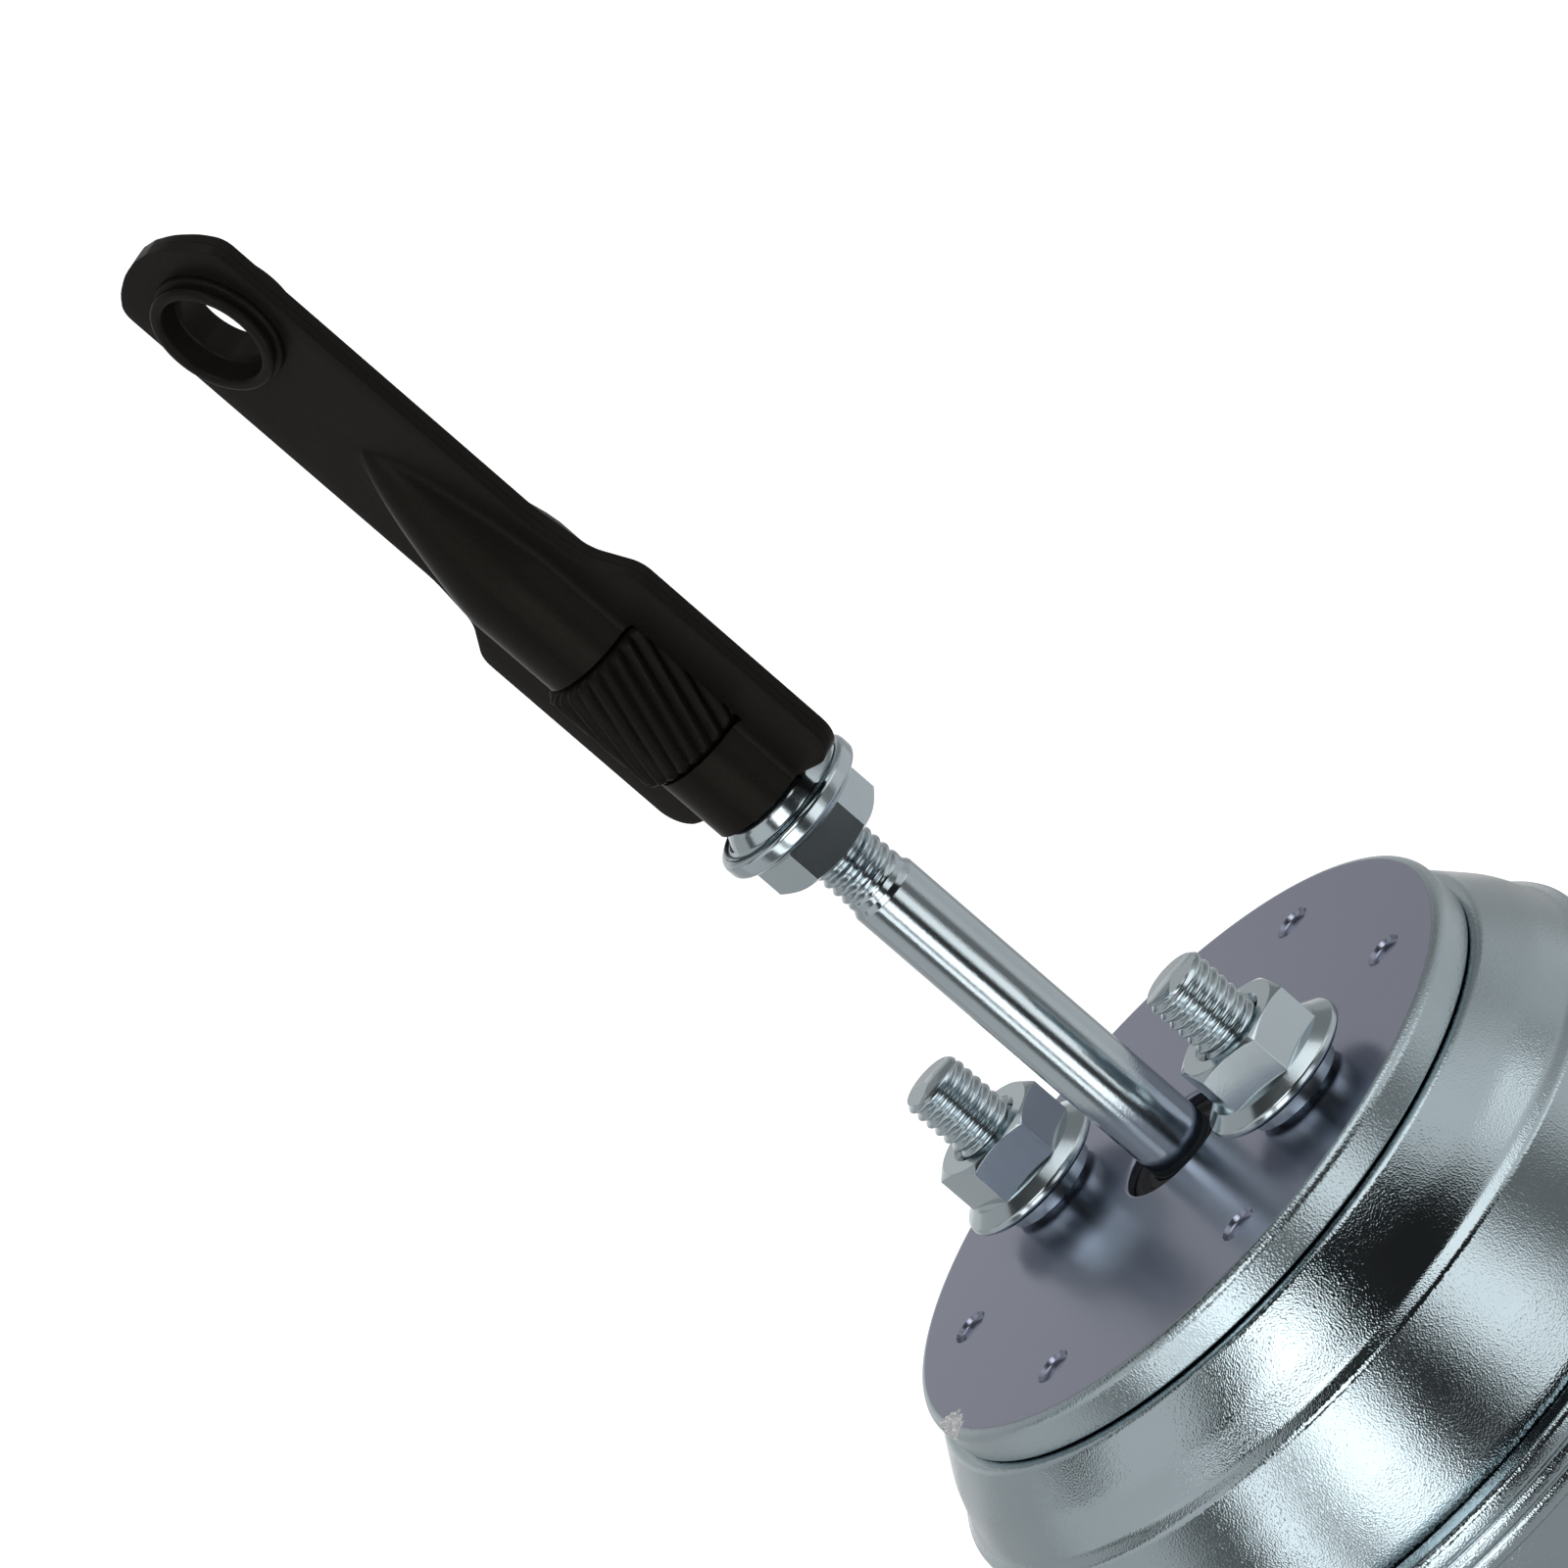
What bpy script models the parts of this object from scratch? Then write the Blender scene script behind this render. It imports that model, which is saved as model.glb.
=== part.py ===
# Wastegate actuator: a plated diaphragm canister with a mounting plate, a sprung push rod
# and a pressed rod end with a captured knurled adjuster.
# Metres, +Z up. The origin is the middle of the canister's flat bottom, and the rod runs along +Z.

import math

import bmesh
import bpy
from mathutils import Matrix, Vector

MM = 0.001
SEAT_GAP = 0.3 * MM
OVERCUT = 2.0 * MM
EDGE_ROUND = 0.3 * MM

# Mounting plate
PLATE_RADIUS = 30.4 * MM
PLATE_THICKNESS = 3.3 * MM
PLATE_ROUND = 0.9 * MM
ROD_HOLE_RADIUS = 5.64 * MM
DIMPLE_RADIUS = 1.75 * MM
DIMPLE_FLARE = 0.35 * MM
DIMPLE_DEPTH = 0.8 * MM
DIMPLE_INSET = 6.33 * MM
DIMPLE_CIRCLE = PLATE_RADIUS - DIMPLE_INSET
DIMPLE_ANGLE = 37.4
NICK_ANGLE = -115.0
NICK_RADIUS = 1.3 * MM
NICK_FLARE = 0.5 * MM

# Canister: each radius steps out from the plate's
CAN_WALL = 1.1 * MM
CAN_SEGMENTS = 36
INNER_SEGMENTS = 28
CAN_TOP_LEDGE = 0.6 * MM
CAN_TOP_RADIUS = PLATE_RADIUS + CAN_TOP_LEDGE
CAN_TOP_CORNER = 1.4 * MM
SHOULDER_FLARE = 4.6 * MM
SHOULDER_RADIUS = CAN_TOP_RADIUS + SHOULDER_FLARE
SHOULDER_DROP = 6.9 * MM
SHOULDER_FILLET = 2.4 * MM
WAIST_DEPTH = 0.9 * MM
WAIST_DROP = 8.7 * MM
WAIST_FILLET = 1.0 * MM
BELLY_BULGE = 1.7 * MM
BELLY_RADIUS = SHOULDER_RADIUS + BELLY_BULGE
BELLY_DROP = 11.6 * MM
UPPER_CAN_HEIGHT = 21.2 * MM
CRIMP_OVERHANG = 2.9 * MM
CRIMP_RADIUS = BELLY_RADIUS + CRIMP_OVERHANG
CRIMP_LIP = 1.8 * MM
CRIMP_FILLET = 0.8 * MM
CRIMP_ROLL = 1.35 * MM
LOWER_CAN_STEP = 1.3 * MM
LOWER_CAN_RADIUS = BELLY_RADIUS - LOWER_CAN_STEP
LOWER_CAN_DEPTH = 18.0 * MM
LOWER_CORNER = 5.0 * MM

# Studs and flange nuts
STUD_OFFSET = 17.5 * MM
STUD_RADIUS = 3.0 * MM
STUD_TOP = 14.5 * MM
STUD_TAPER = 0.8 * MM
COLLAR_RADIUS = 5.4 * MM
COLLAR_HEIGHT = 1.6 * MM
SPIGOT_LENGTH = 2.6 * MM
NUT_ACROSS_FLATS = 10.0 * MM
NUT_HEIGHT = 6.0 * MM
NUT_FLANGE_RADIUS = 7.1 * MM
NUT_FLANGE_EDGE = 1.0 * MM
NUT_FLANGE_ROUND = 0.2 * MM
NUT_CONE_RADIUS = 6.0 * MM
NUT_CONE_STEP = 0.3 * MM
NUT_HEX_RISE = 2.4 * MM
NUT_CHAMFER = 0.9 * MM
JAM_NUT_HEIGHT = 7.2 * MM
JAM_COLLAR_HEIGHT = 2.3 * MM
JAM_COLLAR_RADIUS = 5.2 * MM
JAM_COLLAR_FOOT = 5.85 * MM
JAM_HEX_RISE = 1.6 * MM
JAM_NUT_TURN = 27.0

# Rod, its bush and its seal
ROD_RADIUS = 3.25 * MM
ROD_THREAD_RADIUS = 3.0 * MM
ROD_THREAD_START = 30.7 * MM
ROD_TAPER = 1.2 * MM
JAM_NUT_RISE = 38.75 * MM
ROD_ENGAGEMENT = 26.0 * MM
ROD_SHOULDER_RADIUS = 5.2 * MM
ROD_SHOULDER_HEIGHT = 1.6 * MM
ROD_SPIGOT_RADIUS = 2.5 * MM
BUSH_FLANGE_RADIUS = 8.2 * MM
BUSH_FLANGE_HEIGHT = 1.8 * MM
SEAL_HEIGHT = 2.0 * MM
SEAL_LIP = 0.5 * MM
SEAL_GROOVE = 0.8 * MM

# Piston, diaphragm and spring
PISTON_FLOOR_GAP = 1.2 * MM
PISTON_NUT_FLATS = 8.0 * MM
PISTON_NUT_HEIGHT = 3.0 * MM
SPRING_RADIUS = 17.0 * MM
SPRING_WIRE_RADIUS = 1.3 * MM
SPRING_TURNS = 4.5
SPRING_OUTER = SPRING_RADIUS + SPRING_WIRE_RADIUS
PISTON_CLEARANCE = 3.7 * MM
PISTON_RADIUS = SPRING_OUTER + PISTON_CLEARANCE
PISTON_WALL = 1.1 * MM
PISTON_HEIGHT = 12.0 * MM
PISTON_CORNER = 2.4 * MM
RETAINER_STEP = 2.0 * MM
RETAINER_RADIUS = PISTON_RADIUS - RETAINER_STEP
RETAINER_THICKNESS = 1.2 * MM
DIAPHRAGM_THICKNESS = 0.9 * MM
DIAPHRAGM_FILLET = 1.6 * MM
LOBE_STEP = 2.6 * MM
DIAPHRAGM_LOBE_RADIUS = PISTON_RADIUS + LOBE_STEP
SEAT_CLEARANCE = 1.2 * MM
SEAT_RADIUS = SPRING_OUTER + SEAT_CLEARANCE
SEAT_THICKNESS = 1.1 * MM
SEAT_RIM = 1.6 * MM

# Rod end: two pressed sheets, back to back
SHEET = 0.7 * MM
SHEET_GAP = 0.3 * MM
SHEET_FILLET = 0.9 * MM
PALM_HALF_WIDTH = 11.65 * MM
PALM_CORNER = 2.7 * MM
PALM_LENGTH = 22.2 * MM
PALM_SHOULDER = 2.4 * MM
NECK_CORNER_STEP = 1.0 * MM
NECK_CORNER_RISE = 25.4 * MM
NECK_CORNER_FILLET = 3.5 * MM
NECK_HALF_WIDTH = 7.48 * MM
NECK_START = 30.3 * MM
NECK_FILLET = 8.0 * MM
BARREL_RADIUS = 5.31 * MM
NOSE_START = 27.6 * MM
NOSE_LENGTH = 16.2 * MM
NOSE_POWER = 0.38
SECTION_STEP = 0.05 * MM
EYE_RISE = 58.25 * MM
TIP_ABOVE_EYE = 8.45 * MM
TIP_RADIUS = 10.8 * MM
TIP_FILLET = 2.0 * MM

# Adjuster and eye bush
ADJUSTER_RADIUS = 6.18 * MM
ADJUSTER_RISE = 7.0 * MM
ADJUSTER_LENGTH = 11.2 * MM
ADJUSTER_EDGE = 0.5 * MM
ADJUSTER_HUB = 1.5 * MM
WINDOW_GAP = 0.4 * MM
RIDGE_COUNT = 26
RIDGE_DEPTH = 0.45 * MM
RIDGE_TWIST = 21.0
EYE_BORE_RADIUS = 4.4 * MM
EYE_STEP_RADIUS = 3.95 * MM
EYE_STEP = 0.3 * MM
EYE_BUSH_WALL = 0.55 * MM
EYE_RIM_RADIUS = 5.45 * MM
EYE_FRONT = 2.5 * MM
EYE_BACK = 2.5 * MM

# Hose nipple on the hidden side of the lower can
NIPPLE_RISE = 9.0 * MM
NIPPLE_BORE = 1.6 * MM
NIPPLE_RADIUS = 2.6 * MM
NIPPLE_BARB = 0.7 * MM
NIPPLE_BARBS = 3
NIPPLE_LENGTH = 15.0 * MM
NIPPLE_FLANGE_RADIUS = 4.6 * MM
NIPPLE_FLANGE = 1.6 * MM

# Heights that follow from the sizes above
LOWER_FLANGE_TOP = LOWER_CAN_DEPTH + CAN_WALL
DIAPHRAGM_BEAD_Z = LOWER_FLANGE_TOP + SEAT_GAP
UPPER_FLANGE_Z = DIAPHRAGM_BEAD_Z + DIAPHRAGM_THICKNESS + SEAT_GAP
UPPER_FLANGE_TOP = UPPER_FLANGE_Z + CAN_WALL
CRIMP_TOP = UPPER_FLANGE_TOP + SEAT_GAP + CAN_WALL
CAN_TOP = CRIMP_TOP + UPPER_CAN_HEIGHT
PLATE_Z = CAN_TOP + SEAT_GAP
PLATE_TOP = PLATE_Z + PLATE_THICKNESS
PISTON_NUT_Z = CAN_WALL + PISTON_FLOOR_GAP
RETAINER_Z = PISTON_NUT_Z + PISTON_NUT_HEIGHT + SEAT_GAP
DIAPHRAGM_Z = RETAINER_Z + RETAINER_THICKNESS + SEAT_GAP
PISTON_Z = DIAPHRAGM_Z + DIAPHRAGM_THICKNESS + SEAT_GAP
ROD_SHOULDER_Z = PISTON_Z + PISTON_WALL + SEAT_GAP
CAN_CEILING = CAN_TOP - CAN_WALL
BUSH_Z = CAN_CEILING - SEAT_GAP - BUSH_FLANGE_HEIGHT
SEAT_Z = CAN_CEILING - SEAT_GAP - SEAT_THICKNESS
JAM_NUT_Z = PLATE_TOP + JAM_NUT_RISE
ROD_END_Z = JAM_NUT_Z + JAM_NUT_HEIGHT + SEAT_GAP
ROD_TOP = ROD_END_Z + ROD_ENGAGEMENT
ROD_BORE = ROD_RADIUS + SEAT_GAP
THREAD_BORE = ROD_THREAD_RADIUS + SEAT_GAP
SPIGOT_BORE = ROD_SPIGOT_RADIUS + SEAT_GAP
SHEET_FACE = SHEET_GAP / 2 + SHEET
HUB_RADIUS = BARREL_RADIUS - SHEET - SEAT_GAP


def clear_scene():
    for item in list(bpy.data.objects):
        bpy.data.objects.remove(item, do_unlink=True)


def make_material(name, color, roughness, metallic):
    material = bpy.data.materials.new(name)
    material.use_nodes = True
    shader = material.node_tree.nodes["Principled BSDF"]
    shader.inputs["Base Color"].default_value = (*color, 1.0)
    shader.inputs["Roughness"].default_value = roughness
    shader.inputs["Metallic"].default_value = metallic
    return material


def zinc(name):
    return make_material(name, (0.55, 0.58, 0.61), 0.28, 1.0)


def black_steel(name):
    return make_material(name, (0.012, 0.010, 0.009), 0.45, 0.2)


def rubber(name):
    return make_material(name, (0.015, 0.015, 0.015), 0.75, 0.0)


def make_frame(name, height):
    empty = bpy.data.objects.new(name, None)
    empty.location = (0.0, 0.0, height)
    bpy.context.collection.objects.link(empty)
    return empty


def finish_object(name, mesh_data, material, parent, height, closed=True):
    """Turn a bmesh into an object that stands at a height on its parent's axis."""
    if closed:
        bmesh.ops.recalc_face_normals(mesh_data, faces=mesh_data.faces)
    mesh = bpy.data.meshes.new(name)
    mesh_data.to_mesh(mesh)
    mesh_data.free()
    mesh.shade_smooth()
    mesh.set_sharp_from_angle(angle=math.radians(35.0))
    mesh.materials.append(material)
    item = bpy.data.objects.new(name, mesh)
    bpy.context.collection.objects.link(item)
    item.parent = parent
    item.location = (0.0, 0.0, height - parent.location.z)
    return item


def rounded(corners, closed=False, steps=3):
    """Corner points (r, z, fillet radius) as a path whose corners are arcs."""
    path = []
    count = len(corners)
    for index, (r, z, fillet) in enumerate(corners):
        corner = Vector((r, z))
        if fillet <= 0 or (not closed and index in (0, count - 1)):
            path.append(corner)
            continue
        before = Vector(corners[index - 1][:2]) - corner
        after = Vector(corners[(index + 1) % count][:2]) - corner
        half = before.angle(after) / 2
        reach = fillet / math.tan(half)
        first = corner + before.normalized() * reach
        last = corner + after.normalized() * reach
        centre = corner + (before.normalized() + after.normalized()).normalized() * fillet / math.sin(half)
        start = first - centre
        sweep = start.angle_signed(last - centre)
        for step in range(steps + 1):
            turned_arm = start.copy()
            turned_arm.rotate(Matrix.Rotation(-sweep * step / steps, 2))
            path.append(centre + turned_arm)
    return path


def spin_path(path, closed, segments):
    """Spin a path in the XZ plane about Z into a bmesh."""
    data = bmesh.new()
    verts = [data.verts.new((point.x, 0.0, point.y)) for point in path]
    pairs = list(zip(verts, verts[1:]))
    if closed:
        pairs.append((verts[-1], verts[0]))
    edges = [data.edges.new(pair) for pair in pairs]
    bmesh.ops.spin(data, geom=verts + edges, cent=(0, 0, 0), axis=(0, 0, 1),
                   angle=2 * math.pi, steps=segments, use_merge=True)
    bmesh.ops.remove_doubles(data, verts=data.verts, dist=1e-7)
    return data


def turned(name, corners, material, parent, height, segments=24, steps=3):
    """A turned ring: a closed outline of corners, spun about Z."""
    data = spin_path(rounded(corners, closed=True, steps=steps), True, segments)
    return finish_object(name, data, material, parent, height)


def drawn_sheet(name, corners, wall, material, parent, height, segments, steps=3):
    """A drawn sheet: its skin, on the left of the path, is spun, and a Solidify gives it its wall."""
    data = spin_path(rounded(corners, steps=steps), False, segments)
    item = finish_object(name, data, material, parent, height, closed=False)
    solid = item.modifiers.new("wall", 'SOLIDIFY')
    solid.thickness = wall
    solid.offset = -1.0
    solid.use_even_offset = True
    return item


def ring_body(name, rows, columns, shape, material, parent, height):
    """A closed ring of columns: each row (r, z, part) is set at every angle by shape()."""
    data = bmesh.new()
    grid = []
    for column in range(columns):
        angle = 2 * math.pi * column / columns
        line = []
        for r, z, part in rows:
            radius, turn = shape(r, z, part, angle)
            line.append(data.verts.new((radius * math.cos(turn), radius * math.sin(turn), z)))
        grid.append(line)
    for column, line in enumerate(grid):
        following = grid[(column + 1) % columns]
        for row in range(len(rows)):
            up = (row + 1) % len(rows)
            data.faces.new((line[row], following[row], following[up], line[up]))
    return finish_object(name, data, material, parent, height)


def make_cutter(name, data, parent, matrix):
    mesh = bpy.data.meshes.new(name)
    data.to_mesh(mesh)
    data.free()
    cutter = bpy.data.objects.new(name, mesh)
    bpy.context.collection.objects.link(cutter)
    cutter.parent = parent
    cutter.matrix_local = matrix
    cutter.hide_render = True
    cutter.display_type = 'WIRE'
    return cutter


def round_cutter(name, radius, length, parent, matrix, segments=16, tip=None):
    data = bmesh.new()
    bmesh.ops.create_cone(data, cap_ends=True, segments=segments, radius1=radius,
                          radius2=radius if tip is None else tip, depth=length)
    return make_cutter(name, data, parent, matrix)


def box_cutter(name, size, parent, matrix):
    data = bmesh.new()
    bmesh.ops.create_cube(data, size=1.0)
    bmesh.ops.scale(data, vec=size, verts=data.verts)
    return make_cutter(name, data, parent, matrix)


def cut_away(item, cutter):
    cut = item.modifiers.new(cutter.name, 'BOOLEAN')
    cut.operation = 'DIFFERENCE'
    cut.solver = 'EXACT'
    cut.object = cutter


def make_upper_can(can):
    """Drawn upper shell: a flange in the crimp, a belly, a waist, a shoulder and a flat top."""
    flange_edge = CRIMP_RADIUS - CAN_WALL - SEAT_GAP
    corners = [
        (ROD_HOLE_RADIUS, CAN_TOP, 0),
        (CAN_TOP_RADIUS, CAN_TOP, CAN_TOP_CORNER),
        (SHOULDER_RADIUS, CAN_TOP - SHOULDER_DROP, SHOULDER_FILLET),
        (SHOULDER_RADIUS - WAIST_DEPTH, CAN_TOP - WAIST_DROP, WAIST_FILLET),
        (BELLY_RADIUS, CAN_TOP - BELLY_DROP, SHOULDER_FILLET),
        (BELLY_RADIUS, UPPER_FLANGE_TOP, CRIMP_FILLET),
        (flange_edge, UPPER_FLANGE_TOP, 0),
    ]
    return drawn_sheet("upper_can", corners, CAN_WALL, zinc("upper_can_zinc"), can, 0.0,
                       CAN_SEGMENTS, steps=2)


def make_lower_can(can):
    """Drawn lower shell: flat bottom, wall, flange, and the lip rolled over the upper shell."""
    corners = [
        (CRIMP_RADIUS - CRIMP_LIP, CRIMP_TOP, 0),
        (CRIMP_RADIUS, CRIMP_TOP, CRIMP_ROLL),
        (CRIMP_RADIUS, LOWER_CAN_DEPTH, CRIMP_ROLL),
        (LOWER_CAN_RADIUS, LOWER_CAN_DEPTH, CRIMP_FILLET),
        (LOWER_CAN_RADIUS, 0.0, LOWER_CORNER),
        (0.0, 0.0, 0),
    ]
    item = drawn_sheet("lower_can", corners, CAN_WALL, zinc("lower_can_zinc"), can, 0.0,
                       CAN_SEGMENTS, steps=2)
    side = Matrix.Translation((-LOWER_CAN_RADIUS, 0.0, NIPPLE_RISE)) @ Matrix.Rotation(math.pi / 2, 4, 'Y')
    port = round_cutter("port_cutter", NIPPLE_RADIUS + SEAT_GAP, 2 * (CAN_WALL + OVERCUT), can, side)
    cut_away(item, port)
    return item


def make_mounting_plate(can):
    """Thick turned disc with a rod hole, stud holes, weld dimples and a nick in its rim."""
    corners = [
        (ROD_HOLE_RADIUS, 0.0, 0),
        (PLATE_RADIUS, 0.0, 0),
        (PLATE_RADIUS, PLATE_THICKNESS, PLATE_ROUND),
        (ROD_HOLE_RADIUS, PLATE_THICKNESS, EDGE_ROUND),
    ]
    plate = turned("mounting_plate", corners, zinc("mounting_plate_zinc"), can, PLATE_Z, CAN_SEGMENTS)
    for side, label in ((-1, "left"), (1, "right")):
        place = Matrix.Translation((side * STUD_OFFSET, 0.0, PLATE_Z + PLATE_THICKNESS / 2))
        hole = round_cutter(f"stud_hole_{label}", STUD_RADIUS + SEAT_GAP,
                            PLATE_THICKNESS + 2 * OVERCUT, can, place)
        cut_away(plate, hole)
    angles = (DIMPLE_ANGLE, 90.0, 180.0 - DIMPLE_ANGLE, 180.0 + DIMPLE_ANGLE, 270.0, 360.0 - DIMPLE_ANGLE)
    for number, degrees in enumerate(angles, start=1):
        angle = math.radians(degrees)
        centre = (DIMPLE_CIRCLE * math.cos(angle), DIMPLE_CIRCLE * math.sin(angle), PLATE_TOP)
        dimple = round_cutter(f"dimple_{number}", DIMPLE_RADIUS - DIMPLE_FLARE, 2 * DIMPLE_DEPTH, can,
                              Matrix.Translation(centre), segments=12, tip=DIMPLE_RADIUS + DIMPLE_FLARE)
        cut_away(plate, dimple)
    angle = math.radians(NICK_ANGLE)
    centre = (PLATE_RADIUS * math.cos(angle), PLATE_RADIUS * math.sin(angle), PLATE_TOP)
    nick = round_cutter("rim_nick", NICK_RADIUS, 2 * NICK_RADIUS, can,
                        Matrix.Translation(centre), segments=7, tip=NICK_RADIUS + NICK_FLARE)
    cut_away(plate, nick)
    return plate


def make_stud(label, side, can):
    """Weld stud: a spigot in the plate, a collar on it, and the threaded shank."""
    spigot = -SPIGOT_LENGTH
    corners = [
        (0.0, spigot, 0),
        (STUD_RADIUS, spigot, 0),
        (STUD_RADIUS, 0.0, 0),
        (COLLAR_RADIUS, 0.0, 0),
        (COLLAR_RADIUS, COLLAR_HEIGHT, EDGE_ROUND),
        (STUD_RADIUS, COLLAR_HEIGHT, 0),
        (STUD_RADIUS, STUD_TOP - SEAT_GAP - STUD_TAPER, 0),
        (STUD_RADIUS - STUD_TAPER, STUD_TOP - SEAT_GAP, 0),
        (0.0, STUD_TOP - SEAT_GAP, 0),
    ]
    data = spin_path(rounded(corners), False, 16)
    stud = finish_object(f"stud_{label}", data, zinc(f"stud_{label}_zinc"), can, PLATE_TOP + SEAT_GAP)
    stud.location.x = side * STUD_OFFSET
    return stud


def hex_shape(across_flats, envelope_top, chamfer):
    """Radius of a chamfered hexagon at each angle; the other rows stay round."""
    def shape(r, z, part, angle):
        if part != "hex":
            return r, angle
        flat = across_flats / 2
        corner_turn = (angle + math.pi / 6) % (math.pi / 3) - math.pi / 6
        across = flat / math.cos(corner_turn)
        limit = across_flats / math.sqrt(3) - chamfer * max(0.0, 1 - (envelope_top - z) / chamfer)
        return min(across, limit), angle
    return shape


def make_flange_nut(name, height, bore, parent, place, collar=0.0, hex_rise=NUT_HEX_RISE):
    """Hexagon nut with a round flange, made in one piece; below the flange there may be a collar."""
    edge = NUT_FLANGE_RADIUS - NUT_FLANGE_ROUND
    rows = [
        (bore, NUT_CHAMFER / 2, "bore"),
        (bore + NUT_CHAMFER / 2, 0.0, "face"),
    ]
    if collar > 0:
        rows.append((JAM_COLLAR_RADIUS, 0.0, "collar"))
        rows.append((JAM_COLLAR_FOOT, collar, "collar"))
    rows += [
        (edge, collar, "flange"),
        (NUT_FLANGE_RADIUS, collar + NUT_FLANGE_EDGE / 2, "flange"),
        (edge, collar + NUT_FLANGE_EDGE, "flange"),
        (NUT_CONE_RADIUS, collar + hex_rise - NUT_CONE_STEP, "flange"),
        (0.0, collar + hex_rise, "hex"),
        (0.0, height - NUT_CHAMFER, "hex"),
        (0.0, height - NUT_CHAMFER / 2, "hex"),
        (0.0, height, "hex"),
        (bore + NUT_CHAMFER / 2, height, "face"),
        (bore, height - NUT_CHAMFER / 2, "bore"),
    ]
    shape = hex_shape(NUT_ACROSS_FLATS, height, NUT_CHAMFER)
    return ring_body(name, rows, 24, shape, zinc(name + "_zinc"), parent, place)


def make_rod(rod):
    """Turned rod: spigot through the piston, shoulder, polished shank, necked thread end."""
    thread_z = PLATE_TOP + ROD_THREAD_START
    corners = [
        (0.0, CAN_WALL + SEAT_GAP * 2, 0),
        (ROD_SPIGOT_RADIUS, CAN_WALL + SEAT_GAP * 2, EDGE_ROUND),
        (ROD_SPIGOT_RADIUS, ROD_SHOULDER_Z, 0),
        (ROD_SHOULDER_RADIUS, ROD_SHOULDER_Z, 0),
        (ROD_SHOULDER_RADIUS, ROD_SHOULDER_Z + ROD_SHOULDER_HEIGHT, EDGE_ROUND),
        (ROD_RADIUS, ROD_SHOULDER_Z + ROD_SHOULDER_HEIGHT, 0),
        (ROD_RADIUS, thread_z, 0),
        (ROD_THREAD_RADIUS, thread_z + ROD_TAPER, 0),
        (ROD_THREAD_RADIUS, ROD_TOP - STUD_TAPER, 0),
        (ROD_THREAD_RADIUS - STUD_TAPER, ROD_TOP, 0),
        (0.0, ROD_TOP, 0),
    ]
    data = spin_path(rounded(corners), False, 20)
    return finish_object("actuator_rod", data, zinc("actuator_rod_zinc"), rod, 0.0)


def make_bush_and_seal(can):
    """Flanged guide bush hung in the can's top, with a lip seal above it in the plate's hole."""
    outer = ROD_HOLE_RADIUS - SEAT_GAP
    neck_top = BUSH_FLANGE_HEIGHT + SEAT_GAP + CAN_WALL
    bush = turned("guide_bush", [
        (ROD_BORE, 0.0, 0),
        (BUSH_FLANGE_RADIUS, 0.0, 0),
        (BUSH_FLANGE_RADIUS, BUSH_FLANGE_HEIGHT, 0),
        (outer, BUSH_FLANGE_HEIGHT, 0),
        (outer, neck_top, 0),
        (ROD_BORE, neck_top, EDGE_ROUND),
    ], make_material("guide_bush_bronze", (0.36, 0.24, 0.10), 0.4, 1.0), can, BUSH_Z, 20)
    turned("rod_seal", [
        (ROD_BORE, 0.0, 0),
        (outer, 0.0, 0),
        (outer, SEAL_HEIGHT, 0),
        (outer - SEAL_LIP, SEAL_HEIGHT, 0),
        (ROD_BORE + SEAL_LIP + EDGE_ROUND, SEAL_HEIGHT - SEAL_GROOVE, 0),
        (ROD_BORE + SEAL_LIP, SEAL_HEIGHT, 0),
        (ROD_BORE, SEAL_HEIGHT, 0),
    ], rubber("rod_seal_rubber"), can, BUSH_Z + neck_top + SEAT_GAP, 20)
    return bush


def make_piston_group(can, rod):
    """Diaphragm clamped between a drawn piston cup and a retainer disc, held by a thin nut."""
    drawn_sheet("piston_cup", [
        (PISTON_RADIUS, PISTON_Z + PISTON_HEIGHT, 0),
        (PISTON_RADIUS, PISTON_Z, PISTON_CORNER),
        (SPIGOT_BORE, PISTON_Z, 0),
    ], PISTON_WALL, zinc("piston_cup_zinc"), rod, 0.0, INNER_SEGMENTS)
    turned("diaphragm_retainer", [
        (SPIGOT_BORE, 0.0, 0),
        (RETAINER_RADIUS, 0.0, 0),
        (RETAINER_RADIUS, RETAINER_THICKNESS, 0),
        (SPIGOT_BORE, RETAINER_THICKNESS, 0),
    ], zinc("retainer_zinc"), rod, RETAINER_Z, INNER_SEGMENTS)
    rows = [
        (SPIGOT_BORE, 0.0, "bore"),
        (0.0, 0.0, "hex"),
        (0.0, PISTON_NUT_HEIGHT, "hex"),
        (SPIGOT_BORE, PISTON_NUT_HEIGHT, "bore"),
    ]
    shape = hex_shape(PISTON_NUT_FLATS, PISTON_NUT_HEIGHT + NUT_CHAMFER, NUT_CHAMFER)
    ring_body("piston_nut", rows, 24, shape, zinc("piston_nut_zinc"), rod, PISTON_NUT_Z)
    bead_outer = CRIMP_RADIUS - CAN_WALL - SEAT_GAP
    hang_radius = LOWER_CAN_RADIUS - CAN_WALL - CRIMP_FILLET
    drawn_sheet("diaphragm", [
        (bead_outer, DIAPHRAGM_BEAD_Z, 0),
        (hang_radius, DIAPHRAGM_BEAD_Z, DIAPHRAGM_FILLET),
        (DIAPHRAGM_LOBE_RADIUS, DIAPHRAGM_Z, DIAPHRAGM_FILLET),
        (SPIGOT_BORE, DIAPHRAGM_Z, 0),
    ], DIAPHRAGM_THICKNESS, rubber("diaphragm_rubber"), can, 0.0, INNER_SEGMENTS, steps=2)


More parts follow.
